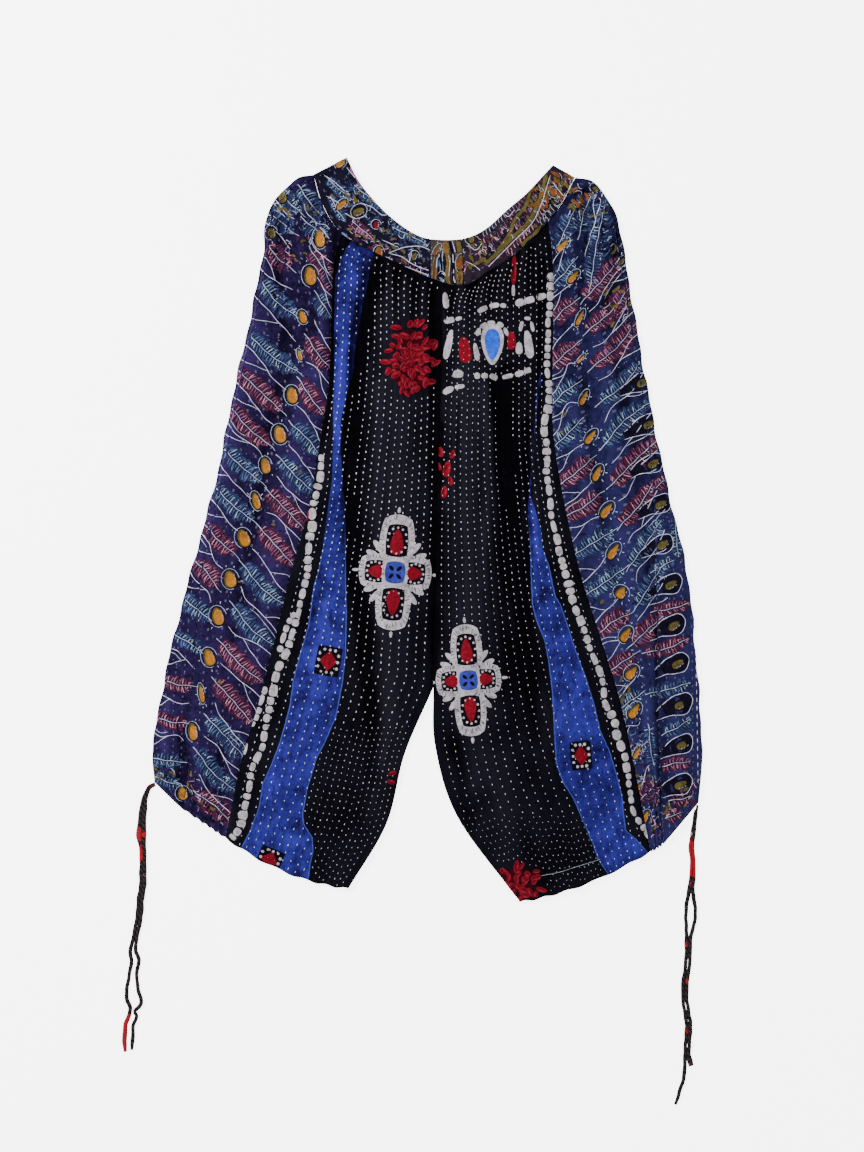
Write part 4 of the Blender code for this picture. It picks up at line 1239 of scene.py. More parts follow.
def white_pair(panel, first, second, parts_at_start, chance):
    """Thin pale lines between neighbouring fronds: from the edge to the buds, others joining on the way."""
    first = [np.array(point, dtype=float) for point in first]
    second = [np.array(point, dtype=float) for point in second]
    outer, inner = (0, 1) if parts_at_start else (1, 0)
    bud_side = (first[inner] + second[inner]) / 2 + chance.uniform(-1.5, 1.5, 2)
    outside = (first[outer] + second[outer]) / 2
    outward = unit(outside - bud_side)
    beside = left_of(outward)
    shares = (0.3, 0.72) if chance.random() < 0.6 else (0.72, 0.3)
    ends = [first[outer] * (1 - share) + second[outer] * share for share in shares]
    ends = [end + outward * (9 if end[0] < 0 else 5) + chance.uniform(-1, 1, 2) for end in ends]
    swing = chance.uniform(-4.2, 4.2, 2)
    main = [ends[0], ends[0] * 0.62 + bud_side * 0.38 + beside * swing[0],
            ends[0] * 0.25 + bud_side * 0.75 + beside * swing[1], bud_side + outward * 2]
    main = hand_line(panel, "white_lines", main, 0.62, chance)
    joins = main[round(chance.uniform(0.4, 0.7) * (len(main) - 1))]
    bow = beside * np.sign(np.dot(ends[1] - joins, beside)) * chance.uniform(1.5, 3.5)
    branch = [ends[1], ends[1] * 0.6 + joins * 0.4 + bow, ends[1] * 0.2 + joins * 0.8 + bow * 0.4, joins]
    hand_line(panel, "white_lines", branch, 0.55, chance)
    if chance.random() < 0.3:
        reach = round(len(main) * chance.uniform(0.45, 0.7))
        beyond = main[:max(reach, 3)] + beside * chance.choice((-4.2, 4.2))
        hand_line(panel, "pale_veins", beyond, 0.6, chance)


def bud(panel, tint, centre, width, height, tilt, chance, pointed=0.35, ringed=True):
    """A painted bud, darker along one side, in a pale ring with short ticks round it."""
    centre = np.array(centre, dtype=float)
    along = turn(90 + tilt, height / 2)
    across = turn(tilt, width / 2)
    shade = "olive" if tint in ("gold", "orange") else "dark_veins"
    roundness = chance.uniform(0.7, 1)
    blob(panel, "dark_veins", centre, along * 1.14, across * 1.16, roundness, 7, 0.0, pointed, 0.1)
    blob(panel, shade, centre, along, across, roundness, 7, 0.0, pointed, 0.14)
    lit = centre - along * 0.1 + across * 0.1
    blob(panel, tint, lit, along * 0.86, across * 0.84, 1, 7, 0.0, pointed, 0.24)
    for _ in range(5):
        foot = centre + along * chance.uniform(-0.7, 0.5) + across * chance.uniform(-0.5, 0.3)
        fine = chance.uniform(0.3, 0.6)
        tip = foot + along * fine * 0.4 + across * chance.uniform(0, 0.4)
        ribbon(panel, shade, [foot, tip], (0.3, fine), 0.38)
    for share in (-0.62, -0.2, 0.3):
        foot = centre + along * share + across * 0.72 * math.sqrt(1 - share * share)
        ribbon(panel, "pale_veins", [foot, foot + along * 0.25 - across * 0.05], (0.35, 0.5), 0.36)
    if not ringed:
        return
    angles = np.linspace(0, 2 * math.pi, 15)
    ring = [centre + along * 1.24 * math.sin(angle) + across * 1.28 * math.cos(angle) for angle in angles]
    gap = chance.integers(2, 6)
    ribbon(panel, "pale_veins", ring[:-gap], chance.uniform(0.35, 0.6, 15 - gap))
    for angle in np.linspace(0.3, 6.0, 9):
        if chance.random() < (0.7 if centre[0] < 0 else 0.3):
            continue
        foot = centre + along * 1.5 * math.sin(angle) + across * 1.5 * math.cos(angle)
        tip = foot + unit(foot - centre) * chance.uniform(1.2, 2.6)
        ribbon(panel, "white_lines", [foot, tip], 0.55)


def arch_round(panel, centre, chance):
    """A pale arch, dark inside, that comes up beside a bud, round its outer end and back out below it."""
    centre = np.array(centre, dtype=float)
    reach = np.array(ARCH_REACH) * chance.uniform(0.9, 1.04)
    line = [centre + np.array(knot) * reach + chance.uniform(-0.4, 0.4, 2) for knot in ARCH_KNOTS]
    middles = [(line[place] + line[-1 - place]) / 2 for place in range(5)]
    openings = [np.linalg.norm(line[place] - line[-1 - place]) * 0.94 for place in range(5)]
    stops = np.linspace(0, 4, 17)
    ribbon(panel, "dark_veins", curve_at(middles, stops), np.interp(stops, range(5), openings), 0.05)
    hand_line(panel, "white_lines", line, 0.66, chance, 0.08)


def scribbles(panel, line, half_width, count, length, lean, finishes, chance):
    """Loose painted strokes crowded along a line, little curves that mostly lean one way."""
    path = even_points(line, 1.0)
    for number in range(count):
        place = path[chance.integers(len(path))] + chance.uniform(-1, 1, 2) * half_width
        along = turn(lean + chance.normal(0, 32), chance.uniform(0.5, 1.2) * length / 2)
        finish = finishes[number % len(finishes)]
        broad = 2.6 if finish in BROAD_STROKES else 1.2 if finish == "dark_veins" else 0.62
        bend = left_of(along) * chance.uniform(0.2, 0.8) * chance.choice((-1, 1))
        knots = [place - along, place - along * 0.6 + bend * 0.7, place + along * 0.5 + bend, place + along]
        stroke = curve_at(knots, np.linspace(0, 3, 7))
        widths = np.array((0.4, 0.8, 1, 1, 1, 0.8, 0.3)) * broad * chance.uniform(0.7, 1.2)
        ribbon(panel, finish, stroke, widths)


def pebbles(panel, line, width, chance):
    """A chain of rounded cobbles along a line."""
    path = even_points(line, 0.8)
    place = 0
    swell = chance.uniform(0, 6)
    while place < len(path) - 6:
        long = int(chance.uniform(9, 19))
        end = min(place + long, len(path) - 1)
        middle = path[(place + end) // 2]
        along = (path[end] - path[place]) / 2 * 0.88
        wide = width / 2 * chance.uniform(0.78, 1.12) * (1 + 0.2 * math.sin(place / 34 + swell))
        across = unit(left_of(along)) * wide
        middle = middle + chance.uniform(-0.5, 0.5, 2)
        roundness, taper = chance.uniform(0.45, 0.95), chance.uniform(-0.2, 0.2)
        blob(panel, "pebble_white", middle, along, across, roundness, 3, 0.45, taper, 0.0)
        place = end


def petal(panel, finish, foot, degrees, length, width, height=0.2):
    along = turn(degrees, length / 2)
    across = turn(degrees - 90, width / 2)
    blob(panel, finish, np.array(foot) + along, along, across, 0.9, 3, 0.25, 0.35, height)
    if finish == "red_print":
        for shade, share in (("red_shade", -0.4), ("red_light", 0.35)):
            line = [foot + along * (0.5 + far) + across * (share + 0.25 * far) for far in (0, 0.5, 1.1)]
            ribbon(panel, shade, line, (0.3, width * 0.13, 0.3), height + 0.3)


def flower_spray(panel, centre, half_width, half_height, chance):
    """A generic bunch of red petals, each in its own dark outline, in rows that turn about the middle."""
    centre = np.array(centre, dtype=float)
    fullness = half_width * half_height / 1134
    ground = ((0, half_height * 0.72), (half_width * 0.72, 0))
    blob(panel, "red_shade", centre, *ground, 0.6, 8, 0.0, 0.0, -0.13)
    for ring, number in ((0.12, 6), (0.38, 14), (0.68, 21), (0.97, 22)):
        number = round(number * fullness)
        for step in range(number):
            degrees = 360 * (step + 0.5 * (number % 2)) / number + chance.uniform(-9, 9)
            share = ring * chance.uniform(0.86, 1.12)
            foot = centre + turn(degrees, share) * (half_width * 0.86, half_height * 0.86)
            heading = degrees + chance.uniform(-60, 60)
            length, width = chance.uniform(6, 13), chance.uniform(5, 8.5)
            foot = foot - turn(heading, length * 0.3)
            lift = 0.3 * ring + chance.uniform(0, 0.4)
            outline = foot - turn(heading, 0.4)
            petal(panel, "black_print", outline, heading, length + 0.8, width + 0.9, 0.05 + lift)
            petal(panel, "red_print", foot, heading, length, width, 0.15 + lift)


def small_square(panel, centre, half_width, half_height, tilt, chance):
    """A dark square holding a red lozenge among pale dots."""
    centre = np.array(centre, dtype=float)
    along, across = turn(90 + tilt, half_height), turn(tilt, half_width)
    blob(panel, "black_print", centre, along, across, 0.12, 8, 0.0, 0.0, 0.12)
    lozenge_up = (along + across) * 0.36
    lozenge_beside = (across - along) * 0.36
    blob(panel, "red_print", centre, lozenge_up, lozenge_beside, 0.1, 4, 0.2, 0.0, 0.25)
    for degrees in range(0, 360, 30):
        cosine, sine = turn(degrees, 1)
        ring = max(abs(cosine), abs(sine))
        spot = centre + (across * cosine + along * sine) / ring * 0.76
        size = chance.uniform(1.3, 1.8)
        blob(panel, "pebble_white", spot, (0, size), (size, 0), 1, 2, 0.2, 0.0, 0.25)


def medallion(panel, centre, half_width, half_height, tilt, chance):
    """A traditional four-lobed medallion: red petals in pale rounded lobes about a blue eye."""
    centre = np.array(centre, dtype=float)

    def spot(degrees, share):
        x, y = turn(degrees, share) * (half_width, half_height)
        return centre + turn(tilt, x) + turn(tilt + 90, y)

    for corner in (45, 135, 225, 315):
        for away, share, length in ((0, 0.44, 0.46), (-19, 0.56, 0.34), (19, 0.56, 0.34)):
            foot, heading = spot(corner + away, share), corner + away + tilt
            petal(panel, "pebble_white", foot, heading, half_width * length, half_width * 0.22, 0.1)
    for degrees in (0, 90, 180, 270):
        middle = spot(degrees, 0.56)
        along = spot(degrees, 0.98) - middle
        across = unit(-left_of(along)) * half_width * 0.5
        heart = middle - along * 0.05
        blob(panel, "dark_veins", middle, along * 1.05, across * 1.07, 0.62, 10, 0.1, 0.12, -0.05)
        blob(panel, "pebble_white", middle, along, across, 0.62, 10, 0.1, 0.12, 0.12)
        blob(panel, "black_print", heart, along * 0.66, across * 0.64, 0.4, 8, 0.0, 0.12, 0.34)
        inner = middle - along * 0.12
        blob(panel, "red_print", inner, along * 0.52, across * 0.46, 0.95, 5, 0.25, 0.55, 0.5)
        for around in range(0, 360, 30):
            cosine, sine = turn(around, 1)
            dot = heart + along * 0.52 * sine + across * 0.52 * cosine
            blob(panel, "pebble_white", dot, (0, 1.3), (1.3, 0), 1, 2, 0.15, 0.0, 0.5)
        for around in np.linspace(-70, 250, 30):
            cosine, sine = turn(around + chance.uniform(-5, 5), 1)
            rim = middle + (along * sine + across * cosine) * chance.uniform(0.76, 0.92)
            tick = unit(rim - middle) * chance.uniform(0.8, 2.8) + chance.uniform(-0.6, 0.6, 2)
            widths = (0.3, chance.uniform(0.4, 1.0), 0.5)
            ribbon(panel, "dark_veins", [rim - tick, rim, rim + tick], widths, 0.3)
        petal(panel, "pebble_white", spot(degrees, 1.0), degrees + tilt, 6.5, 4.0, 0.1)
    half = half_width * 0.3
    for finish, high, wide, roundness, cells, height in (("pebble_white", 1.25, 1.15, 0.15, 8, 0.55),
                                                         ("blue_print", 1, 0.92, 0.6, 6, 0.75)):
        along, across = turn(tilt + 90, half * high), turn(tilt, half * wide)
        blob(panel, finish, centre, along, across, roundness, cells, 0.0, 0.0, height)
    for degrees in range(45, 405, 90):
        heading = degrees + tilt
        eye = centre + turn(heading, half * 0.5)
        along, across = turn(heading, half * 0.3), turn(heading - 90, half * 0.16)
        blob(panel, "black_print", eye, along, across, 1, 2, 0, 0, 0.9)


def border(panel, upper, lower, chance):
    """A generic border between two chains of cobbles: red lozenges and blue drops with pale arches."""
    for line in upper + lower:
        pebbles(panel, line, BORDER_COBBLES, chance)
    for kind, centre, half_width, half_height, tilt in BORDER_SHAPES:
        centre = np.array(centre, dtype=float)
        along, across = turn(90 + tilt, half_height), turn(tilt, half_width)
        if kind == "arch":
            angles = np.linspace(0, math.pi, 7)
            line = [centre + across * math.cos(angle) + along * math.sin(angle) for angle in angles]
            pebbles(panel, line, ARCH_COBBLES, chance)
            continue
        if kind == "drop":
            blob(panel, "pebble_white", centre, along * -1.2, across * 1.32, 1, 8, 0, 0.5, 0.12)
            blob(panel, "bright_blue_print", centre, along * -0.92, across * 0.9, 1, 6, 0.1, 0.5, 0.35)
            continue
        finish = "red_print" if kind == "red" else "pebble_white"
        blob(panel, finish, centre, along, across, 0.75, 5, 0.15, 0.3, 0.15)


def running_stitches(panel, leg, chance):
    """Rows of short running stitches down a centre panel, finer and closer beside the stripe low down."""
    rows, travelled = row_ladder(leg, 1.0)
    hem_width = panel_width(leg, 0, np.array([HEM_WIDTH_ROW]))[0]
    towards_inseam = 1 if leg == "left" else -1
    edge = np.array(STRIPE_EDGES["left_outer_edge" if leg == "left" else "right_inner_edge"], dtype=float)
    for apart, pitch, fine in ((COLUMN_PITCH, STITCH_PITCH, 1),
                               (CLOSE_THREADS, CLOSE_STITCHES, FINE_STITCH)):
        count = round(hem_width / apart)
        size = fine * STITCH_SIZE[leg]
        for line in range(1, count):
            phase = (0.16 * line + 0.3 * math.sin(1.9 * line)) % 1
            stops = np.arange(phase * pitch + 4, travelled[-1] - 3, pitch * chance.uniform(0.985, 1.015))
            stops = stops + chance.uniform(-0.35, 0.35, len(stops))
            drift = 0.007 * np.sin(stops / 61 + line * 0.3) + chance.uniform(-0.0012, 0.0012, len(stops))
            station = np.clip(line / count + drift, 0.01, 0.99)
            row = np.interp(stops, travelled, rows)
            spots = leg_plan(leg, station, row)
            x, y = spots.T
            ahead = leg_plan(leg, station, np.minimum(row + 0.03, HEM_ROW)) - spots
            # Stitches are left out of the deepest troughs, as painted shade there.
            seen = np.full(len(spots), "back" in panel) | (relief(x, y) > DEEP_TROUGH)
            seen &= station * panel_width(leg, 0, row) > SEAM_CLEAR
            beside_stripe = (x - np.interp(-y, -edge[:, 1], edge[:, 0])) * towards_inseam
            seen &= ((y < CLOSE_ROWS[leg]) & (beside_stripe > 1)) == (fine < 1)
            for where, centre, half_width, half_height in FLOWER_SPRAYS:
                if where == panel:
                    seen &= np.hypot(*((spots - centre) / (half_width, half_height)).T) > 1.05
            for spot, step in zip(spots[seen], ahead[seen]):
                along = unit(step) * chance.uniform(0.85, 1.35) * size
                stitch(panel, spot, along, chance.uniform(0.38, 0.56) * size)


def stitch(panel, spot, along, half_width):
    """One stitch: a domed grain of thread on the cloth."""
    across = unit(left_of(along)) * half_width
    blob(panel, "running_stitches", spot, along, across, 1, 3, 0.38, 0, 0.05)


def stitch_line(panel, line, pitch):
    """A single line of stitching."""
    path = even_points(line, pitch)
    for spot, following in zip(path, path[1:]):
        stitch(panel, (spot + following) / 2, unit(following - spot) * pitch * 0.3, 0.34)


def lay_on_cloth(bm, cloth, side, turned, least_lift):
    """Drops flat shapes onto a cloth's outer face and trims what hangs past it, more so if it is turned."""
    stray = set()
    for vert in bm.verts:
        lift = (vert.co.z + least_lift) * MM * (1 if side > 0 else LIFT_UNDERNEATH)
        above = Vector((vert.co.x * MM, vert.co.y * MM, side * DROP_FROM))
        point, normal, _, _ = cloth.ray_cast(above, Vector((0, 0, -side)))
        if point is None or normal.z * side < STEEPEST:
            point, normal, _, _ = cloth.find_nearest(Vector((above.x, above.y, 0.006 if side > 0 else 0)))
            stray.add(vert)
        vert.co = point + normal * lift
    trims = any if turned else all
    outside = [face for face in bm.faces if trims(vert in stray for vert in face.verts)]
    bmesh.ops.delete(bm, geom=outside, context="FACES")
    slivers = [face for face in bm.faces if face.calc_area() < SLIVER]
    bmesh.ops.delete(bm, geom=slivers, context="FACES")


def make_print(panel, finish, sheets):
    """All of a finish's shapes on a panel as one piece, or nothing if none is left after trimming."""
    cloth, facing, slot = surfaces[panel]
    bm = bmesh.new()
    for sheet in sheets:
        lay_on_cloth(sheet, cloth, facing, "turned_edge" in panel, PRINT_LIFT.get(finish, USUAL_LIFT))
        part = mesh_from(sheet, "part")
        bm.from_mesh(part)
        bpy.data.meshes.remove(part)
    if not bm.faces:
        bm.free()
        return None
    bm.normal_update()
    if finish != "running_stitches":
        backward = [face for face in bm.faces if face.normal.z * facing < 0]
        bmesh.ops.reverse_faces(bm, faces=backward)
    name = f"{panel}_{finish}"
    mesh = mesh_from(bm, name)
    mesh.shade_smooth()
    places = np.zeros(len(mesh.vertices) * 3)
    mesh.vertices.foreach_get("co", places)
    plan = places.reshape(-1, 3)[:, :2]
    low, high = plan.min(axis=0), plan.max(axis=0)
    add_uvs(mesh, "OFBake", (plan - low) / np.maximum(high - low, 1e-4))
    mesh.materials.append(finish_materials[finish])
    piece = add_object(name, mesh)
    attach(piece, "root")
    return piece


# Materials

def dye(red, green, blue):
    """A dye's own colour, each part 0 to 255, as the shader wants it."""
    shown = np.array((red, green, blue)) / 255
    linear = np.where(shown <= 0.04045, shown / 12.92, ((shown + 0.055) / 1.055)**2.4)
    return (*(float(v) for v in linear), 1.0)


def put(tree, kind, settings=None, **values):
    """A node with its settings, and its input values by socket name."""
    node = tree.nodes.new(kind)
    for key, value in (settings or {}).items():
        setattr(node, key, value)
    for key, value in values.items():
        feed(tree, node.inputs[key.replace("_", " ")], value)
    return node


def feed(tree, socket, value):
    """Gives a socket a link from another, or a plain value."""
    if isinstance(value, bpy.types.NodeSocket):
        tree.links.new(value, socket)
    else:
        socket.default_value = value


def blend(tree, share, low, high):
    """A colour mixed from two. Each is a socket or a colour."""
    node = put(tree, "ShaderNodeMix", {"data_type": "RGBA"}, Factor=share)
    feed(tree, node.inputs[6], low)
    feed(tree, node.inputs[7], high)
    return node.outputs[2]


def sums(tree, operation, *values, clamp=False):
    node = put(tree, "ShaderNodeMath", {"operation": operation, "use_clamp": clamp})
    for socket, value in zip(node.inputs, values):
        feed(tree, socket, value)
    return node.outputs[0]


def ramped(tree, value, low, high, to_low=0.0, to_high=1.0):
    """A value eased from one range to another."""
    node = put(tree, "ShaderNodeMapRange", {"interpolation_type": "SMOOTHSTEP"}, Value=value,
               From_Min=low, From_Max=high, To_Min=to_low, To_Max=to_high)
    return node.outputs["Result"]


def noise(tree, vector, scale, detail=3.0, roughness=0.6):
    node = put(tree, "ShaderNodeTexNoise", Vector=vector, Scale=scale, Detail=detail, Roughness=roughness)
    return node.outputs["Fac"]


def new_group(name, inputs, outputs):
    """An empty shader group, with the sockets that bring its inputs and take its outputs."""
    group = bpy.data.node_groups.new(name, "ShaderNodeTree")
    for label, kind, value in inputs:
        socket = group.interface.new_socket(label, in_out="INPUT", socket_type=kind)
        if value is not None:
            socket.default_value = value
    for label, kind in outputs:
        group.interface.new_socket(label, in_out="OUTPUT", socket_type=kind)
    return group, group.nodes.new("NodeGroupInput").outputs, group.nodes.new("NodeGroupOutput").inputs


def use_group(tree, group, **inputs):
    return put(tree, "ShaderNodeGroup", {"node_tree": group}, **inputs).outputs


def make_woven_cloth():
    """Crossed threads, slubs and soft crumpling, as one height."""
    group, given, result = new_group(
        "woven cloth",
        (("Vector", "NodeSocketVector", None), ("Threads", "NodeSocketFloat", 320.0),
         ("Crumple", "NodeSocketFloat", 0.6)),
        (("Height", "NodeSocketFloat"),),
    )
    place = given["Vector"]
    waves = [put(group, "ShaderNodeTexWave", {"bands_direction": direction}, Distortion=0.4, Detail=1.0,
                 Vector=place, Scale=given["Threads"]).outputs["Fac"] for direction in ("X", "Y")]
    weave = sums(group, "MULTIPLY", *waves)
    slub = noise(group, place, 900.0, 2.0)
    crumple = noise(group, place, 130.0, 3.0)
    fine = sums(group, "ADD", sums(group, "MULTIPLY", weave, 0.16), sums(group, "MULTIPLY", slub, 0.18))
    soft = sums(group, "MULTIPLY", crumple, given["Crumple"])
    feed(group, result["Height"], sums(group, "ADD", fine, soft))
    return group


def make_quilting():
    """Rows of running stitches along the cut: the hollows they pull in, and where their threads show."""
    group, given, result = new_group("quilting", (("Cut", "NodeSocketVector", None),),
                                     (("Height", "NodeSocketFloat"), ("Stitches", "NodeSocketFloat")))
    parts = put(group, "ShaderNodeSeparateXYZ", Vector=given["Cut"]).outputs
    angles = [sums(group, "MULTIPLY", parts[axis], 2 * math.pi) for axis in ("X", "Y")]
    heights = [sums(group, "COSINE", angle) for angle in angles]
    wavering = noise(group, given["Cut"], 0.9, 2.0)
    hollows = sums(group, "MULTIPLY_ADD", heights[0], 0.7, 0.5)
    columns, stitches = ramped(group, heights[0], 0.88, 0.95), ramped(group, heights[1], 0.5, 0.75)
    feed(group, result["Height"], sums(group, "MULTIPLY", hollows, wavering))
    feed(group, result["Stitches"], sums(group, "MULTIPLY", columns, stitches))
    return group


def make_dyeing():
    """Uneven dye: two tints mixed in patches, deeper or paler by one more input: on the cloths painted
    light on ridges and painted shade in troughs, with some fading; on prints a fixed paleness.
    """
    group, given, result = new_group(
        "uneven dye",
        (("Vector", "NodeSocketVector", None), ("Deep", "NodeSocketColor", None),
         ("Pale", "NodeSocketColor", None), ("Wear", "NodeSocketFloat", 0.5),
         ("Patches", "NodeSocketFloat", 45.0), ("Unevenness", "NodeSocketFloat", 0.8)),
        (("Color", "NodeSocketColor"), ("Mask", "NodeSocketFloat")),
    )
    patches = noise(group, given["Vector"], given["Patches"], 4.0, 0.65)
    grain = noise(group, given["Vector"], 620.0, 2.0)
    uneven = sums(group, "MULTIPLY", sums(group, "SUBTRACT", patches, 0.5), given["Unevenness"])
    fleck = sums(group, "MULTIPLY", sums(group, "SUBTRACT", grain, 0.5), 0.9)
    mask = sums(group, "ADD", sums(group, "ADD", uneven, fleck), given["Wear"], clamp=True)
    feed(group, result["Color"], blend(group, mask, given["Deep"], given["Pale"]))
    feed(group, result["Mask"], mask)
    return group


def cotton(name, roughness=0.85, sheen=0.02):
    """A material with the settings that all this cotton shares."""
    material = bpy.data.materials.new(name)
    material.use_nodes = True
    tree = material.node_tree
    sockets = tree.nodes["Principled BSDF"].inputs
    for label, value in (("Roughness", roughness), ("Sheen Weight", sheen), ("Sheen Roughness", 0.5),
                         ("Specular IOR Level", 0.015)):
        sockets[label].default_value = value
    place = put(tree, "ShaderNodeTexCoord").outputs["Object"]
    return material, tree, sockets, place


def marked(tree, name):
    return put(tree, "ShaderNodeAttribute", {"attribute_name": name}).outputs["Fac"]


def cut_places(tree, name="cut"):
    return put(tree, "ShaderNodeUVMap", {"uv_map": name}).outputs["UV"]


def bumped(tree, sockets, height, distance):
    node = put(tree, "ShaderNodeBump", Strength=1.0, Distance=distance, Height=height)
    feed(tree, sockets["Normal"], node.outputs["Normal"])


def quilted_black():
    """Overdyed black cotton with its blue stripe, paler on its ridges as painted sheen with some fading,
    deeper in its troughs as painted shade.
    """
    material, tree, sockets, place = cotton("black quilted cotton", 0.8, 0.0)
    shade_and_wear = marked(tree, "shade_and_wear")
    black = use_group(tree, dyeing, Vector=place, Deep=dye(*DEEP_BLACK), Pale=dye(*SHEEN_AND_WORN_BLACK), Wear=shade_and_wear,
                      Patches=28.0, Unevenness=0.7)
    ragged = sums(tree, "MULTIPLY_ADD", noise(tree, place, 260.0, 2.0), 1.4, -0.7)
    reach = sums(tree, "ADD", marked(tree, "stripe"), ragged)
    inside = ramped(tree, reach, -0.3, 0.3)
    # The blue is painted lighter on the ridges and darker in the troughs too.
    blue_shade_and_wear = sums(tree, "MULTIPLY_ADD", shade_and_wear, 0.95, 0.06)
    blue = use_group(tree, dyeing, Vector=place, Deep=dye(*DEEP_BLUE), Pale=dye(*BRIGHT_BLUE),
                     Wear=blue_shade_and_wear, Patches=60.0, Unevenness=2.0)
    # Dark streaks drawn out down the lower stripe: painted shade of its folds.
    drawn_out = put(tree, "ShaderNodeMapping", Vector=place, Scale=(2.2, 0.8, 1)).outputs["Vector"]
    fold_shade = ramped(tree, noise(tree, drawn_out, 75.0, 6.0, 0.75), 0.545, 0.63)
    height_down = put(tree, "ShaderNodeSeparateXYZ", Vector=place).outputs["Y"]
    low_down = ramped(tree, height_down, 0.02, -0.06)
    fold_shades = sums(tree, "MULTIPLY", sums(tree, "MULTIPLY", fold_shade, 0.75), low_down)
    fold_shaded = blend(tree, fold_shades, blue["Color"], dye(*FOLD_SHADE_BLUE))
    off_edge = sums(tree, "ABSOLUTE", sums(tree, "SUBTRACT", reach, 0.1))
    edge = ramped(tree, off_edge, 0.75, 0.35, 0.0, 0.4)
    striped = blend(tree, inside, black["Color"], fold_shaded)
    edged = blend(tree, sums(tree, "MULTIPLY", edge, low_down), striped, dye(*PALE_BLUE))
    feed(tree, sockets["Base Color"], edged)
    woven = use_group(tree, weaving, Vector=place, Threads=330.0, Crumple=0.8)
    hollows = use_group(tree, quilting, Cut=cut_places(tree))["Height"]
    total = sums(tree, "ADD", woven["Height"], sums(tree, "MULTIPLY", hollows, 0.9))
    bumped(tree, sockets, total, 0.0007)
    feed(tree, sockets["Roughness"], ramped(tree, black["Mask"], 0.0, 1.0, 0.86, 0.74))
    return material


def plain_dyed(name, deep, pale, patches, unevenness, flecks=None):
    """Dyed cotton for the printed panels, the waistband and the patch."""
    material, tree, sockets, place = cotton(name)
    # Paler on ridges, deeper in troughs: painted light and shade, with some fading.
    tint = use_group(tree, dyeing, Vector=place, Deep=dye(*deep), Pale=dye(*pale),
                     Wear=marked(tree, "shade_and_wear"), Patches=patches, Unevenness=unevenness)
    colour = tint["Color"]
    if flecks:
        fleck = ramped(tree, noise(tree, place, 420.0, 1.0), 0.72, 0.78)
        colour = blend(tree, sums(tree, "MULTIPLY", fleck, 0.45), colour, dye(*flecks))
    rows = use_group(tree, quilting, Cut=cut_places(tree))
    colour = blend(tree, sums(tree, "MULTIPLY", rows["Stitches"], 0.15), colour, dye(*FLECK))
    feed(tree, sockets["Base Color"], colour)
    woven = use_group(tree, weaving, Vector=place, Threads=360.0, Crumple=0.8)
    total = sums(tree, "ADD", woven["Height"], sums(tree, "MULTIPLY", rows["Height"], 0.35))
    bumped(tree, sockets, total, 0.0006)
    feed(tree, sockets["Roughness"], ramped(tree, tint["Mask"], 0.0, 1.0, 0.9, 0.8))
    return material


def print_material(name, deep, pale, patches, show):
    """Block-printed or painted colour, thin in places so the cloth under it shows."""
    material, tree, sockets, place = cotton(name, 0.8, 0.0)
    tint = use_group(tree, dyeing, Vector=place, Deep=dye(*deep), Pale=dye(*pale), Wear=show,
                     Patches=patches, Unevenness=1.6)
    feed(tree, sockets["Base Color"], tint["Color"])
    woven = use_group(tree, weaving, Vector=place, Threads=340.0, Crumple=0.5)
    bumped(tree, sockets, woven["Height"], 0.0004)
    feed(tree, sockets["Roughness"], ramped(tree, tint["Mask"], 0.0, 1.0, 0.85, 0.75))
    return material


def cord_material():
    """Twisted strips of the garment's own cloths: black with red and pale turns."""
    material, tree, sockets, place = cotton("twisted cotton cord", 0.82, 0.0)
    turns = cut_places(tree, "turns")
    wave = put(tree, "ShaderNodeTexWave", {"bands_direction": "DIAGONAL"}, Vector=turns, Scale=0.55,
               Distortion=2.5, Detail=2.0).outputs["Fac"]
    colour = blend(tree, wave, dye(*CORD_DEEP), dye(*CORD_WORN))
    for label, spots, amount, low, high, tint in (
            ("redness", noise(tree, turns, 1.3, 3.0), 1.1, 0.42, 0.56, RED),
            ("paleness", noise(tree, place, 240.0, 3.0), 1.4, 0.45, 0.6, CORD_PALE)):
        varied = sums(tree, "MULTIPLY", sums(tree, "SUBTRACT", spots, 0.5), amount)
        share = ramped(tree, sums(tree, "ADD", marked(tree, label), varied), low, high)
        colour = blend(tree, share, colour, dye(*tint))
    feed(tree, sockets["Base Color"], colour)
    woven = use_group(tree, weaving, Vector=place, Threads=420.0, Crumple=0.7)
    bumped(tree, sockets, sums(tree, "ADD", woven["Height"], wave), 0.0006)
    return material


def floor_material():
    material, tree, sockets, place = cotton("pale floor", 0.9, 0.0)
    tint = blend(tree, noise(tree, place, 3.0, 2.0), *FLOOR_TINTS)
    feed(tree, sockets["Base Color"], tint)
    feed(tree, sockets["Emission Color"], tint)
    sockets["Emission Strength"].default_value = FLOOR_GLOW
    bumped(tree, sockets, noise(tree, place, 400.0, 2.0), 0.00005)
    return material


# The stage

camera_data = bpy.data.cameras.new("camera")
camera_data.lens = LENS
camera_data.sensor_width = SENSOR_WIDTH
camera = add_object("camera", camera_data)
camera.location = CAMERA_PLACE
bpy.context.scene.camera = camera


def area_light(name, place, aim, size, power, tint):
    data = bpy.data.lights.new(name, "AREA")
    data.shape = "DISK"
    data.size = size
    data.energy = power
    data.color = tint
    light = add_object(name, data)
    light.location = place
    light.rotation_euler = (Vector(aim) - Vector(place)).to_track_quat("-Z", "Y").to_euler()


for light in LIGHTS:
    area_light(*light)
world = bpy.data.worlds.new("studio")
world.use_nodes = True
background = world.node_tree.nodes["Background"]
background.inputs["Color"].default_value = (1, 1, 1, 1)
background.inputs["Strength"].default_value = SKY_STRENGTH
bpy.context.scene.world = world

weaving = make_woven_cloth()
quilting = make_quilting()
dyeing = make_dyeing()

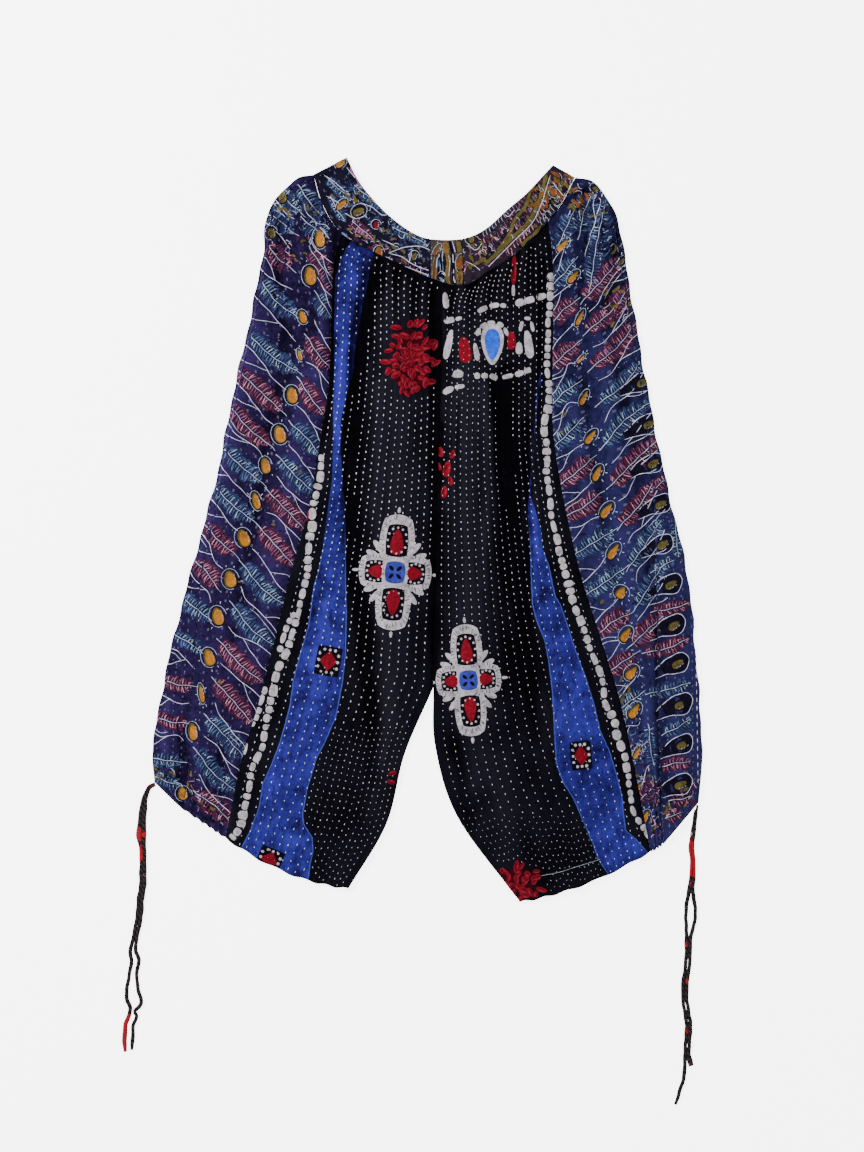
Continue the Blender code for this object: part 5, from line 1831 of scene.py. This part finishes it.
bm = bmesh.new()
bmesh.ops.create_grid(bm, x_segments=8, y_segments=8, size=FLOOR_SIZE)
mesh = mesh_from(bm, "floor")
mesh.materials.append(floor_material())
floor = add_object("floor", mesh)
for vert in mesh.vertices:
    vert.co.z = FLOOR_HEIGHT


# Drawstrings

def bulges(table, y):
    """What a table of places, reaches and amounts adds up to at heights down the garment."""
    return sum(more * np.exp(-((y - down) / reach)**2) for down, reach, more in table)


def make_cord(name, route):
    """A twisted flat cord along its route, lying on the surface."""
    path = even_points(route, 1.6)
    down = path[:, 1]
    travelled = travel(path)
    forward = np.gradient(path, axis=0)
    beside = left_of(forward / np.linalg.norm(forward, axis=1)[:, None])
    wide = CORD_HALF + 0.1 * np.sin(travelled / 7.3 + 1) + 0.05 * np.sin(travelled / 3.1)
    wide = wide + bulges(CORD_WIDE[name], down)
    lean = bulges(CORD_LEAN[name], down)
    from_end = np.minimum(travelled, travelled[-1] - travelled)
    wide = wide * (0.78 + 0.22 * smooth_step(0, 9, from_end))
    thick = np.clip(2.5 / wide, 0.75, 1.35)
    twist = travelled / 26 * math.pi + 0.8 * np.sin(travelled / 19)
    red = np.full(len(path), CORD_TURNS)
    pale = np.full(len(path), CORD_TURNS)
    for start, end, how_red, how_pale in CORD_DYES[name]:
        inside = np.clip((start - down) / 4, 0, 1) * np.clip((down - end) / 4, 0, 1)
        red += (how_red - CORD_TURNS) * inside
        pale += (how_pale - CORD_TURNS) * inside
    bm = bmesh.new()
    bmesh.ops.create_grid(bm, x_segments=CORD_SIDES, y_segments=len(path) - 1, size=1)
    bm.verts.ensure_lookup_table()
    turns = bm.loops.layers.uv.new("turns")
    redness = bm.verts.layers.float.new("redness")
    paleness = bm.verts.layers.float.new("paleness")
    centre_height = np.maximum(thick, 1.1) + CORD_CLEAR + UNDERSIDE * 0.5
    for index, vert in enumerate(bm.verts):
        place, side = divmod(index, CORD_SIDES + 1)
        angle = 2 * math.pi * side / CORD_SIDES
        ridge = 1 + 0.10 * math.cos(3 * (angle - twist[place]))
        out = wide[place] * math.cos(angle) * ridge + lean[place]
        up = thick[place] * math.sin(angle) * ridge
        x, y = path[place] + beside[place] * out
        vert.co = (x * MM, y * MM, (centre_height[place] + up) * MM)
        vert[redness] = red[place]
        vert[paleness] = pale[place]
    for face in bm.faces:
        for loop in face.loops:
            place, side = divmod(loop.vert.index, CORD_SIDES + 1)
            loop[turns].uv = (side / CORD_SIDES * 2, travelled[place] / 5)
    bmesh.ops.remove_doubles(bm, verts=bm.verts[:], dist=1e-7)
    rims = [edge for edge in bm.edges if edge.is_boundary]
    bmesh.ops.holes_fill(bm, edges=rims, sides=CORD_SIDES)
    bmesh.ops.recalc_face_normals(bm, faces=bm.faces[:])
    mesh = mesh_from(bm, name)
    mesh.shade_smooth()
    mesh.materials.append(cord_cotton)
    cord = add_object(f"{name}_cord", mesh)
    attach(cord, "root")
    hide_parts(name)


cord_cotton = cord_material()
for name, route in CORD_ROUTES.items():
    make_cord(name, route)


# The cloth

black_cloth = quilted_black()
side_cloths = {}
back_cloths = {}
# Each side cloth's pale tint is painted light on its ridges, with some fading.
for leg, deep, lit_worn in (("left", DEEP_NAVY, LIT_WORN_NAVY), ("right", DEEP_INDIGO, LIT_WORN_INDIGO)):
    side_cloths[leg] = plain_dyed(f"{leg} navy frond print cloth", deep, lit_worn, 120.0, 1.7, FLECK)
    back_cloths[leg] = plain_dyed(f"{leg} navy back print cloth", deep, lit_worn, 120.0, 1.7, FLECK)
band_cloth = plain_dyed("navy waistband cloth", BAND_DEEP, BAND_NAVY, 60.0, 1.0, FLECK)
patch_cloth = plain_dyed("striped patch cloth", PATCH_DEEP, PATCH_PALE, 90.0, 1.0)
vine_cloth = plain_dyed("vine print waistband cloth", VINE_DEEP, VINE_PALE, 90.0, 1.2, FLECK)
finish_materials = {finish: print_material(finish.replace("_", " "), *look)
                    for finish, look in FINISHES.items()}

surfaces = {}
for leg in ("left", "right"):
    for part, panel, columns, spacing, facing, slot, material in (
            ("front_centre", 0, 84, 2.3, 1, "black_quilted_cotton", black_cloth),
            ("front_side", 1, 46, 2.5, 1, "navy_frond_print", side_cloths[leg]),
            ("back_centre", 0, 60, 4.0, -1, "black_quilted_cotton", black_cloth)):
        place, cut, plan = panel_face(leg, panel, columns, spacing, facing)
        x, y = plan[..., 0], plan[..., 1]
        # Paler on ridges and deeper in troughs: painted light and shade, with some fading; the side panels
        # also rubbed paler down the right. Undersides get an even value.
        shade_and_wear = side_shade_and_wear(x, y) if panel else relief_shade_and_wear(x, y)
        marks = {"shade_and_wear": shade_and_wear if facing > 0 else np.full(x.shape, 0.4)}
        if panel == 0:
            marks["stripe"] = stripe_reach(leg, x, y)
        lay_cloth(f"{leg}_{part}_panel", place, cut, marks, CLOTH, slot, material, facing)
    name = f"{leg}_back_side_panel"
    place, cut = turned_face(leg, strip_count=16, fold_count=8, under_count=26, spacing=3.0)
    # The turned strip's painted light and shade, with fading, as on the front.
    marks = {"shade_and_wear": side_shade_and_wear(place[..., 0], place[..., 1])}
    lay_cloth(name, place, cut, marks, CLOTH, "navy_back_print", back_cloths[leg], -1)
    surfaces[f"{leg}_turned_edge"] = (surfaces[name][0], 1, "navy_back_print")

patch_start, patch_end = BAND_PATCH
for name, start, end, columns, turned, slot, material in (
        ("waistband_front_left", 0, patch_start - BAND_GAP, 150, (True, False), "navy_band_print",
         band_cloth),
        ("waistband_centre_patch", patch_start + BAND_GAP, patch_end - BAND_GAP, 24, (False, False),
         "striped_patch_cotton", patch_cloth),
        ("waistband_front_right", patch_end + BAND_GAP, BAND_LAST, 150, (False, True), "olive_vine_print",
         vine_cloth)):
    place, cut = band_face(start, end, columns, 20, *turned)
    # Paler where the band stands higher, as painted light, deeper where it lies lower, as painted shade,
    # with some fading.
    marks = {"shade_and_wear": np.clip(0.45 + (place[..., 2] - BAND_TOP) / 5, 0, 1)}
    lay_cloth(name, place, cut, marks, BAND, slot, material, 1)

places = np.linspace(0.35, BAND_LAST - 0.35, 160)
plan = band_plan(places[:, None], np.linspace(0, 1, 14)[None, :])
place = np.concatenate((plan, np.full(plan.shape[:2] + (1,), UNDERSIDE)), axis=-1)
marks = {"shade_and_wear": np.full(plan.shape[:2], 0.5)}
lay_cloth("waistband_back", place, plan / THREAD_PITCH, marks, BAND, "navy_band_print", band_cloth, -1)


# The prints and threads

for number, (leg, column, lines_part_at, tails, panels) in enumerate(FROND_COLUMNS):
    half_width = TURNED_FROND_REACH if "turn" in column else FROND_REACH
    fronds = FRONDS[column]
    for panel in panels:
        chance = np.random.default_rng(FROND_SEED + number)
        for tint, start, end in fronds:
            frond(panel, tint, start, end, half_width, chance, tails)
        for above, below in zip(fronds, fronds[1:]):
            if lines_part_at and 22 < math.dist(above[1], below[1]) < 62:
                white_pair(panel, above[1:], below[1:], lines_part_at == "start", chance)

for leg, usual_tilt, narrower, pointed in (("left", 14, 1, 0.35), ("right", -34, 0.8, 0.7)):
    centre = f"{leg}_front_centre_panel"
    side = f"{leg}_front_side_panel"
    edge = f"{leg}_turned_edge"
    for panel, group in ((side, leg), (edge, leg), (edge, f"{leg}_turn"), (side, f"{leg}_turn")):
        chance = np.random.default_rng(len(group) * BUD_SEED)
        for tint, place, width, height in BUDS.get(group, ()):
            tilt = usual_tilt + chance.uniform(-8, 8)
            bud(panel, tint, place, width * narrower, height * (0.5 + narrower / 2), tilt, chance, pointed)
        for place in ARCHED_BUDS if group == "right_turn" else ():
            tilt = usual_tilt + chance.uniform(-8, 8)
            arch_round(panel, place, chance)
            bud(panel, "olive", place, *ARCHED_BUD, tilt - 20, chance, 0.5, False)
    for line in (name for name in PEBBLE_LINES if name.startswith(leg)):
        width = BROAD_COBBLES if line.endswith("long") else FINE_COBBLES
        pebbles(centre, PEBBLE_LINES[line], width, chance)
    running_stitches(centre, leg, chance)

# From here on every motif goes on with the last of those random draws
for where in MEDALLIONS:
    medallion(*where, chance)
for where in FLOWER_SPRAYS:
    flower_spray(*where, chance)
border("right_front_centre_panel", *BORDER_LINES, chance)
for where in SMALL_SQUARES:
    small_square(*where, chance)
for panel, place, degrees, length, width in RED_PETALS:
    petal(panel, "red_print", place, degrees, length, width)

for panel, line, half_width, count, length, lean, finishes in SCRIBBLES:
    scribbles(panel, line, half_width, count, length, lean, finishes, chance)
stitch_line("right_turned_edge", ((273, 20), (278, -60), (282, -150), (284, -268)), 8.4)
hem_seam = even_points(((112, -365), (140, -359), (181, -346)), 3)
ribbon("right_front_centre_panel", "pale_veins", hem_seam, 0.32)

# The hidden side repeats the front's motifs at even steps
for leg in ("left", "right"):
    back = f"{leg}_back_side_panel"
    for number, row in enumerate(np.arange(0.7, 10.0, 0.62)):
        for first, last in ((1.86, 1.58), (1.4, 1.12)):
            start, end = leg_plan(leg, np.array([first, last]), np.array([row, row + 0.5]))
            frond(back, ("teal", "crimson")[number // 2 % 2], start, end, 10, chance)
        middle = leg_plan(leg, np.array([1.5]), np.array([row + 0.55]))[0]
        bud(back, "gold", middle, 10, 15, 0, chance)
    back = f"{leg}_back_centre_panel"
    pebbles(back, leg_plan(leg, np.full(30, 0.94), np.linspace(1.5, 10.4, 30)), BROAD_COBBLES, chance)
    running_stitches(back, leg, chance)
for place in np.arange(0.7, BAND_LAST - 0.9, 0.55):
    start, end = band_plan(np.array([place, place + 0.4]), np.array([0.2, 0.7]))
    frond("waistband_back", ("teal", "crimson")[round(place / 1.1) % 2], start, end, 6, chance)
    middle = band_plan(np.array([place + 0.5]), np.array([0.3]))[0]
    bud("waistband_back", "olive", middle, 6, 9, 0, chance)

# The waistband's own motifs
for panel, strokes in BAND_STROKES.items():
    for finish, width, line in strokes:
        path = even_points(line, 2.6)
        ends = np.minimum(1, np.linspace(0.5, len(path), len(path)) / 2)
        widths = width * ends * chance.uniform(0.75, 1.15, len(path))
        ribbon(panel, finish, path, widths, 0.12 if width < 1.5 else 0)
        if finish == "olive":
            ribbon(panel, "dark_veins", path, widths + 1.8)
for panel, strokes in BAND_HATCHES.items():
    for finish, length, line in strokes:
        path = even_points(line, 4.4)
        for place, step in zip(path, np.gradient(path, axis=0)):
            stroke = unit(left_of(step) + 0.5 * step) * length / 2 * chance.uniform(0.6, 1.0)
            bend = unit(step) * 0.8
            ribbon(panel, finish, [place - stroke, place + bend, place + stroke], (0.3, 0.65, 0.3))
for tint, start, end, half_width in BAND_FRONDS:
    frond("waistband_front_left", tint, start, end, half_width, chance)
for panel, buds in BAND_BUDS.items():
    for tint, place, width, height, tilt in buds:
        bud(panel, tint, place, width, height, tilt, chance)

finished = {}
for (panel, finish), sheets in prints.items():
    piece = make_print(panel, finish, sheets)
    if piece:
        finished.setdefault(panel, []).append(piece)

for name, (width, length, area) in CUTS.items():
    on_it = finished.get(name, [])
    if name.endswith("back_side_panel"):
        on_it = on_it + finished.get(name.replace("back_side_panel", "turned_edge"), [])
